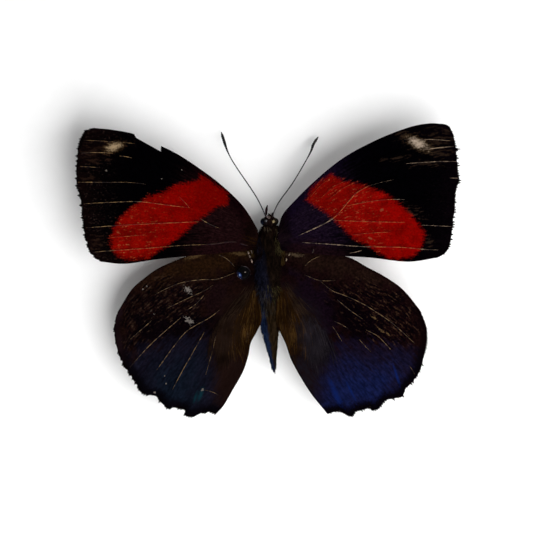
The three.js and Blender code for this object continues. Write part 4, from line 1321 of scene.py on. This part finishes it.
left_hindwing_scales = hindwing_finish("left_hindwing_scales", {
    "brown": (0.0054, 0.0020, 0.0016),
    "dark": (0.0015, 0.0006, 0.0011),
    "worn": (0.018, 0.0102, 0.007),
    "pale": (0.045, 0.026, 0.011),
    "navy": (0.0036, 0.0032, 0.0068),
    "blue": (0.0027, 0.0042, 0.0082),
    "painted_sheen": (0.0034, 0.0160, 0.0230),
    "violet": (0.0050, 0.0019, 0.0022),
    "inner": (0.0074, 0.0034, 0.0028),
    "gold": (0.0104, 0.0043, 0.0017),
    "lined": (0.0155, 0.0072, 0.0028),
    "rim": (0.0052, 0.0023, 0.0031),
    "rear_rim": (0.0013, 0.0009, 0.0018),
    "fleck": (0.11, 0.095, 0.085),
})
right_hindwing_scales = hindwing_finish("right_hindwing_scales", {
    "brown": (0.0047, 0.0015, 0.0016),
    "dark": (0.0013, 0.0004, 0.0010),
    "worn": (0.025, 0.0125, 0.0075),
    "pale": (0.045, 0.03, 0.018),
    "navy": (0.0042, 0.0031, 0.0098),
    # This wing's far brighter blue is painted sheen.
    "blue": (0.0036, 0.0056, 0.0290),
    "painted_sheen": (0.0032, 0.0085, 0.0600),
    "violet": (0.0036, 0.0014, 0.0034),
    "inner": (0.0056, 0.0044, 0.0066),
    "gold": (0.0082, 0.0036, 0.0025),
    "lined": (0.0140, 0.0060, 0.0017),
    "rim": (0.0022, 0.0007, 0.0010),
    "rear_rim": (0.0012, 0.0007, 0.0016),
    "fleck": (0.06, 0.036, 0.016),
})
hindwing_under = under_finish("hindwing_under", {
    "ground": (0.06, 0.042, 0.028),
    "dusk": (0.035, 0.023, 0.015),
    "line": (0.012, 0.0075, 0.0055),
    "band": (0.06, 0.042, 0.028),
})
hindwing_vein = vein_finish("hindwing_vein", (0.012, 0.0066, 0.0032), (0.13, 0.08, 0.034))
straw_hair = hair_finish("straw_hair", (0.0205, 0.0118, 0.0070))
brown_hair = hair_finish("brown_hair", (0.0115, 0.0055, 0.0032))
olive_hair = hair_finish("olive_hair", (0.0118, 0.0064, 0.0044))
slate_hair = hair_finish("slate_hair", (0.0170, 0.0136, 0.0168))
dark_slate_hair = hair_finish("dark_slate_hair", (0.0104, 0.0084, 0.0112))

HINDWINGS = (
    ("left", LEFT_HINDWING, LEFT_AREAS, LEFT_HINDWING_FLECKS, LEFT_PAINTED_SHEEN, LEFT_PALE, LEFT_HINDWING_VEINS,
     left_hindwing_scales),
    ("right", RIGHT_HINDWING, RIGHT_AREAS, RIGHT_HINDWING_FLECKS, RIGHT_PAINTED_SHEEN, RIGHT_PALE,
     RIGHT_HINDWING_VEINS, right_hindwing_scales),
)
for name, edges, areas, flecks, painted_sheen, pale, veins, scales in HINDWINGS:
    sheet = wing_sheet(edges, HINDWING_SET, veins, wing_chance)
    if name == "left":
        pierced = [face for face in sheet.faces
                   if math.dist(face.calc_center_median()[:2], PIN_AT) < PIN_HOLE_RADIUS]
        bmesh.ops.delete(sheet, geom=pierced, context="FACES")
    places = np.array([corner.co[:2] for corner in sheet.verts])
    mark_sheet(sheet, {
        **{mark: depth_inside(places, area) for mark, area in areas.items()},
        "fleck": patch_depth(places, flecks),
        "painted_sheen": patch_depth(places, painted_sheen),
        "pale": patch_depth(places, pale),
        "margin": distance_to_line(places, edges["outer"]),
        "vein": vein_distance(places, veins),
    })
    vein_rods = vein_strands(BVHTree.FromBMesh(sheet), veins, wing_chance)
    vein_piece = strand_piece(f"{name}_hindwing_veins", vein_rods, [hindwing_vein], 1)
    fringe = fringe_strands(edges, HINDWING_SET, wing_chance)
    fringe_piece = strand_piece(f"{name}_hindwing_fringe", fringe, [fringe_coat])
    hairs = []
    for coat in HINDWING_HAIRS:
        hairs += wing_hairs(edges, HINDWING_SET, coat, wing_chance)
    far_hairs = (brown_hair, olive_hair) if name == "left" else (slate_hair, dark_slate_hair)
    hair_finishes = [gold_hair, bright_hair, *far_hairs, brown_hair, straw_hair]
    hair_piece = strand_piece(f"{name}_hindwing_hair", hairs, hair_finishes)
    wing_piece = sheet_piece(f"{name}_hindwing_sheet", sheet, scales, hindwing_under)
    for piece in (wing_piece, vein_piece, fringe_piece, hair_piece):
        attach(piece, "root")
    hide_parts(f"{name}_hindwing")

# Pin: a steel wire pushed through the root of the left hindwing and cut off level with the surface, its head
# a ball of dark glass melted on to the wire with a short neck. Its left side is painted blue for the light
# that glows through the glass, and its front rim paler for a painted reflection.
PIN_RADIUS = 0.25
PIN_HEAD_RADIUS = 1
PIN_HEAD_Z = 5.69
# The painted blue glow and pale rim reflection of the glass, as way from the middle, shares of radius and
# colour.
GLASS_PAINTED_LIGHT = (
    ((-0.86, -0.5, 0), 0.4, 0.95, (0.008, 0.011, 0.035, 1)),
    ((0.3, 0.95, 0), 0.8, 1, (0.07, 0.058, 0.064, 1)),
)
PIN_NECK_RADIUS = 0.36
PIN_NECK_LENGTH = 0.22
PIN_SIDES = 48
PIN_CHAMFER = 0.06

pin_glass, glass_tree, glass_sockets = new_finish("pin_glass", 0.06, 0.05)
glass_sockets["Sheen Weight"].default_value = 0.25
glass_sockets["Sheen Roughness"].default_value = 0.2
glass_sockets["Sheen Tint"].default_value = (1, 0.8, 0.9, 1)
glass_colour_and_light = blotched(glass_tree, 0.8, 0, 1, (0.0005, 0.0004, 0.0006), (0.0012, 0.0008, 0.0011))
glass_place = add_node(glass_tree, "ShaderNodeTexCoord").outputs["Object"]
glass_middle = Vector((*PIN_AT, PIN_HEAD_Z)) * MM
glass_away = worked_places(glass_tree, "SUBTRACT", glass_place, glass_middle)[0]
# Paints the blue glow on the left and the pale rim reflection at the front.
for way, start, end, colour in GLASS_PAINTED_LIGHT:
    reach = worked_places(glass_tree, "DOT_PRODUCT", glass_away, way)["Value"]
    glass_colour_and_light = laid(glass_tree, glass_colour_and_light, colour, reach, start * PIN_HEAD_RADIUS * MM,
                        end * PIN_HEAD_RADIUS * MM)
glass_tree.links.new(glass_colour_and_light, glass_sockets["Base Color"])
add_relief(glass_tree, glass_sockets, cloudy(glass_tree, 0.5), 0.01, 0.3)

pin_steel, steel_tree, steel_sockets = new_finish("pin_steel", 0.35, 0.5)
steel_sockets["Metallic"].default_value = 1
steel_colour = blotched(steel_tree, 0.3, 0, 1, (0.3, 0.3, 0.31), (0.5, 0.5, 0.51))
steel_tree.links.new(steel_colour, steel_sockets["Base Color"])
steel_tree.links.new(eased(steel_tree, cloudy(steel_tree, 0.15), 0, 1, 0.25, 0.5), steel_sockets["Roughness"])

neck_angle = math.asin(PIN_NECK_RADIUS / PIN_HEAD_RADIUS)
neck_end = -PIN_HEAD_RADIUS - PIN_NECK_LENGTH / 2
ball_profile = [(0, 0, PIN_HEAD_RADIUS)]
for step in range(1, PIN_SIDES + 1):
    angle = step / PIN_SIDES * (math.pi - neck_angle)
    ball_profile.append((PIN_HEAD_RADIUS * math.sin(angle), 0, PIN_HEAD_RADIUS * math.cos(angle)))
ball_profile += [(PIN_RADIUS, 0, neck_end), (0, 0, neck_end)]
ball = spun_shell(ball_profile, (0, 0, 1), PIN_SIDES)
bmesh.ops.translate(ball, vec=(*PIN_AT, PIN_HEAD_Z), verts=ball.verts)
pin_ball = mesh_piece("pin_ball", ball, pin_glass)
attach(pin_ball, "root")
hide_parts("pin_head")

wire_length = PIN_HEAD_Z - PIN_HEAD_RADIUS
wire = bmesh.new()
bmesh.ops.create_cone(wire, cap_ends=True, segments=PIN_SIDES, radius1=PIN_RADIUS, radius2=PIN_RADIUS,
                      depth=wire_length, matrix=Matrix.Translation((*PIN_AT, wire_length / 2)))
wire_rims = [edge for edge in wire.edges if len({round(corner.co.z, 3) for corner in edge.verts}) == 1]
bmesh.ops.bevel(wire, geom=wire_rims, offset=PIN_CHAMFER, segments=2, profile=0.5, affect="EDGES",
                material=-1)
pin_wire = mesh_piece("pin_wire", wire, pin_steel)
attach(pin_wire, "root")
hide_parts("pin_shaft")

# Studio: a plain white floor, a broad soft lamp from the lower right, weak light all round, two cool glints
# from the left and a warm one from the right, and a long lens straight overhead.
FLOOR_HALF_WIDTH = 2000
FLOOR_Z = -0.03
# Lamps, as bearing and height in degrees, distance, width, power, colour and whether they only make a glint.
LAMPS = {
    "key_lamp": (-42, 36, 400, 680, 4.7, (1, 1, 1), False),
    "cool_lamp": (209, 16, 320, 360, 7, (0.1, 0.24, 1), True),
    "core_lamp": (211, 13, 280, 90, 2.7, (0.5, 0.75, 1), True),
    "warm_lamp": (20, 60, 300, 95, 1.6, (1, 0.88, 0.75), True),
}
AMBIENT = 0.363
LENS = 200
VIEW_WIDTH = 77.3
VIEW_CENTRE = (-0.07, 0.51)
WING_PLANE = 5

floor_paint, floor_tree, floor_sockets = new_finish("floor_paint", 1, 0)
floor_colour = blotched(floor_tree, 5, 0, 1, (0.92, 0.92, 0.92), (0.94, 0.94, 0.94))
floor_tree.links.new(floor_colour, floor_sockets["Base Color"])
floor_sheet = bmesh.new()
bmesh.ops.create_grid(floor_sheet, x_segments=1, y_segments=1, size=FLOOR_HALF_WIDTH,
                      matrix=Matrix.Translation((0, 0, FLOOR_Z)))
floor = mesh_piece("floor", floor_sheet, floor_paint)

for name, (bearing, height, distance, width, power, colour, is_glint) in LAMPS.items():
    lamp = bpy.data.lights.new(name, "AREA")
    lamp.shape = "DISK"
    lamp.size = width * MM
    lamp.energy = power
    lamp.color = colour
    holder = bpy.data.objects.new(name, lamp)
    bearing, height = math.radians(bearing), math.radians(height)
    back = Vector((math.cos(bearing) * math.cos(height), math.sin(bearing) * math.cos(height),
                   math.sin(height)))
    holder.location = back * distance * MM
    holder.rotation_euler = back.to_track_quat("Z", "Y").to_euler()
    holder.visible_camera = False
    holder.visible_glossy = is_glint
    holder.visible_diffuse = not is_glint
    bpy.context.scene.collection.objects.link(holder)

world = bpy.data.worlds.new("studio")
world.use_nodes = True
world.node_tree.nodes["Background"].inputs["Color"].default_value = (1, 1, 1, 1)
world.node_tree.nodes["Background"].inputs["Strength"].default_value = AMBIENT
bpy.context.scene.world = world
bpy.context.scene.view_settings.view_transform = "Standard"

lens = bpy.data.cameras.new("overhead")
lens.lens = LENS
lens.clip_start = MM
camera = bpy.data.objects.new("overhead", lens)
camera_height = WING_PLANE + VIEW_WIDTH * LENS / lens.sensor_width
camera.location = (VIEW_CENTRE[0] * MM, VIEW_CENTRE[1] * MM, camera_height * MM)
bpy.context.scene.collection.objects.link(camera)
bpy.context.scene.camera = camera
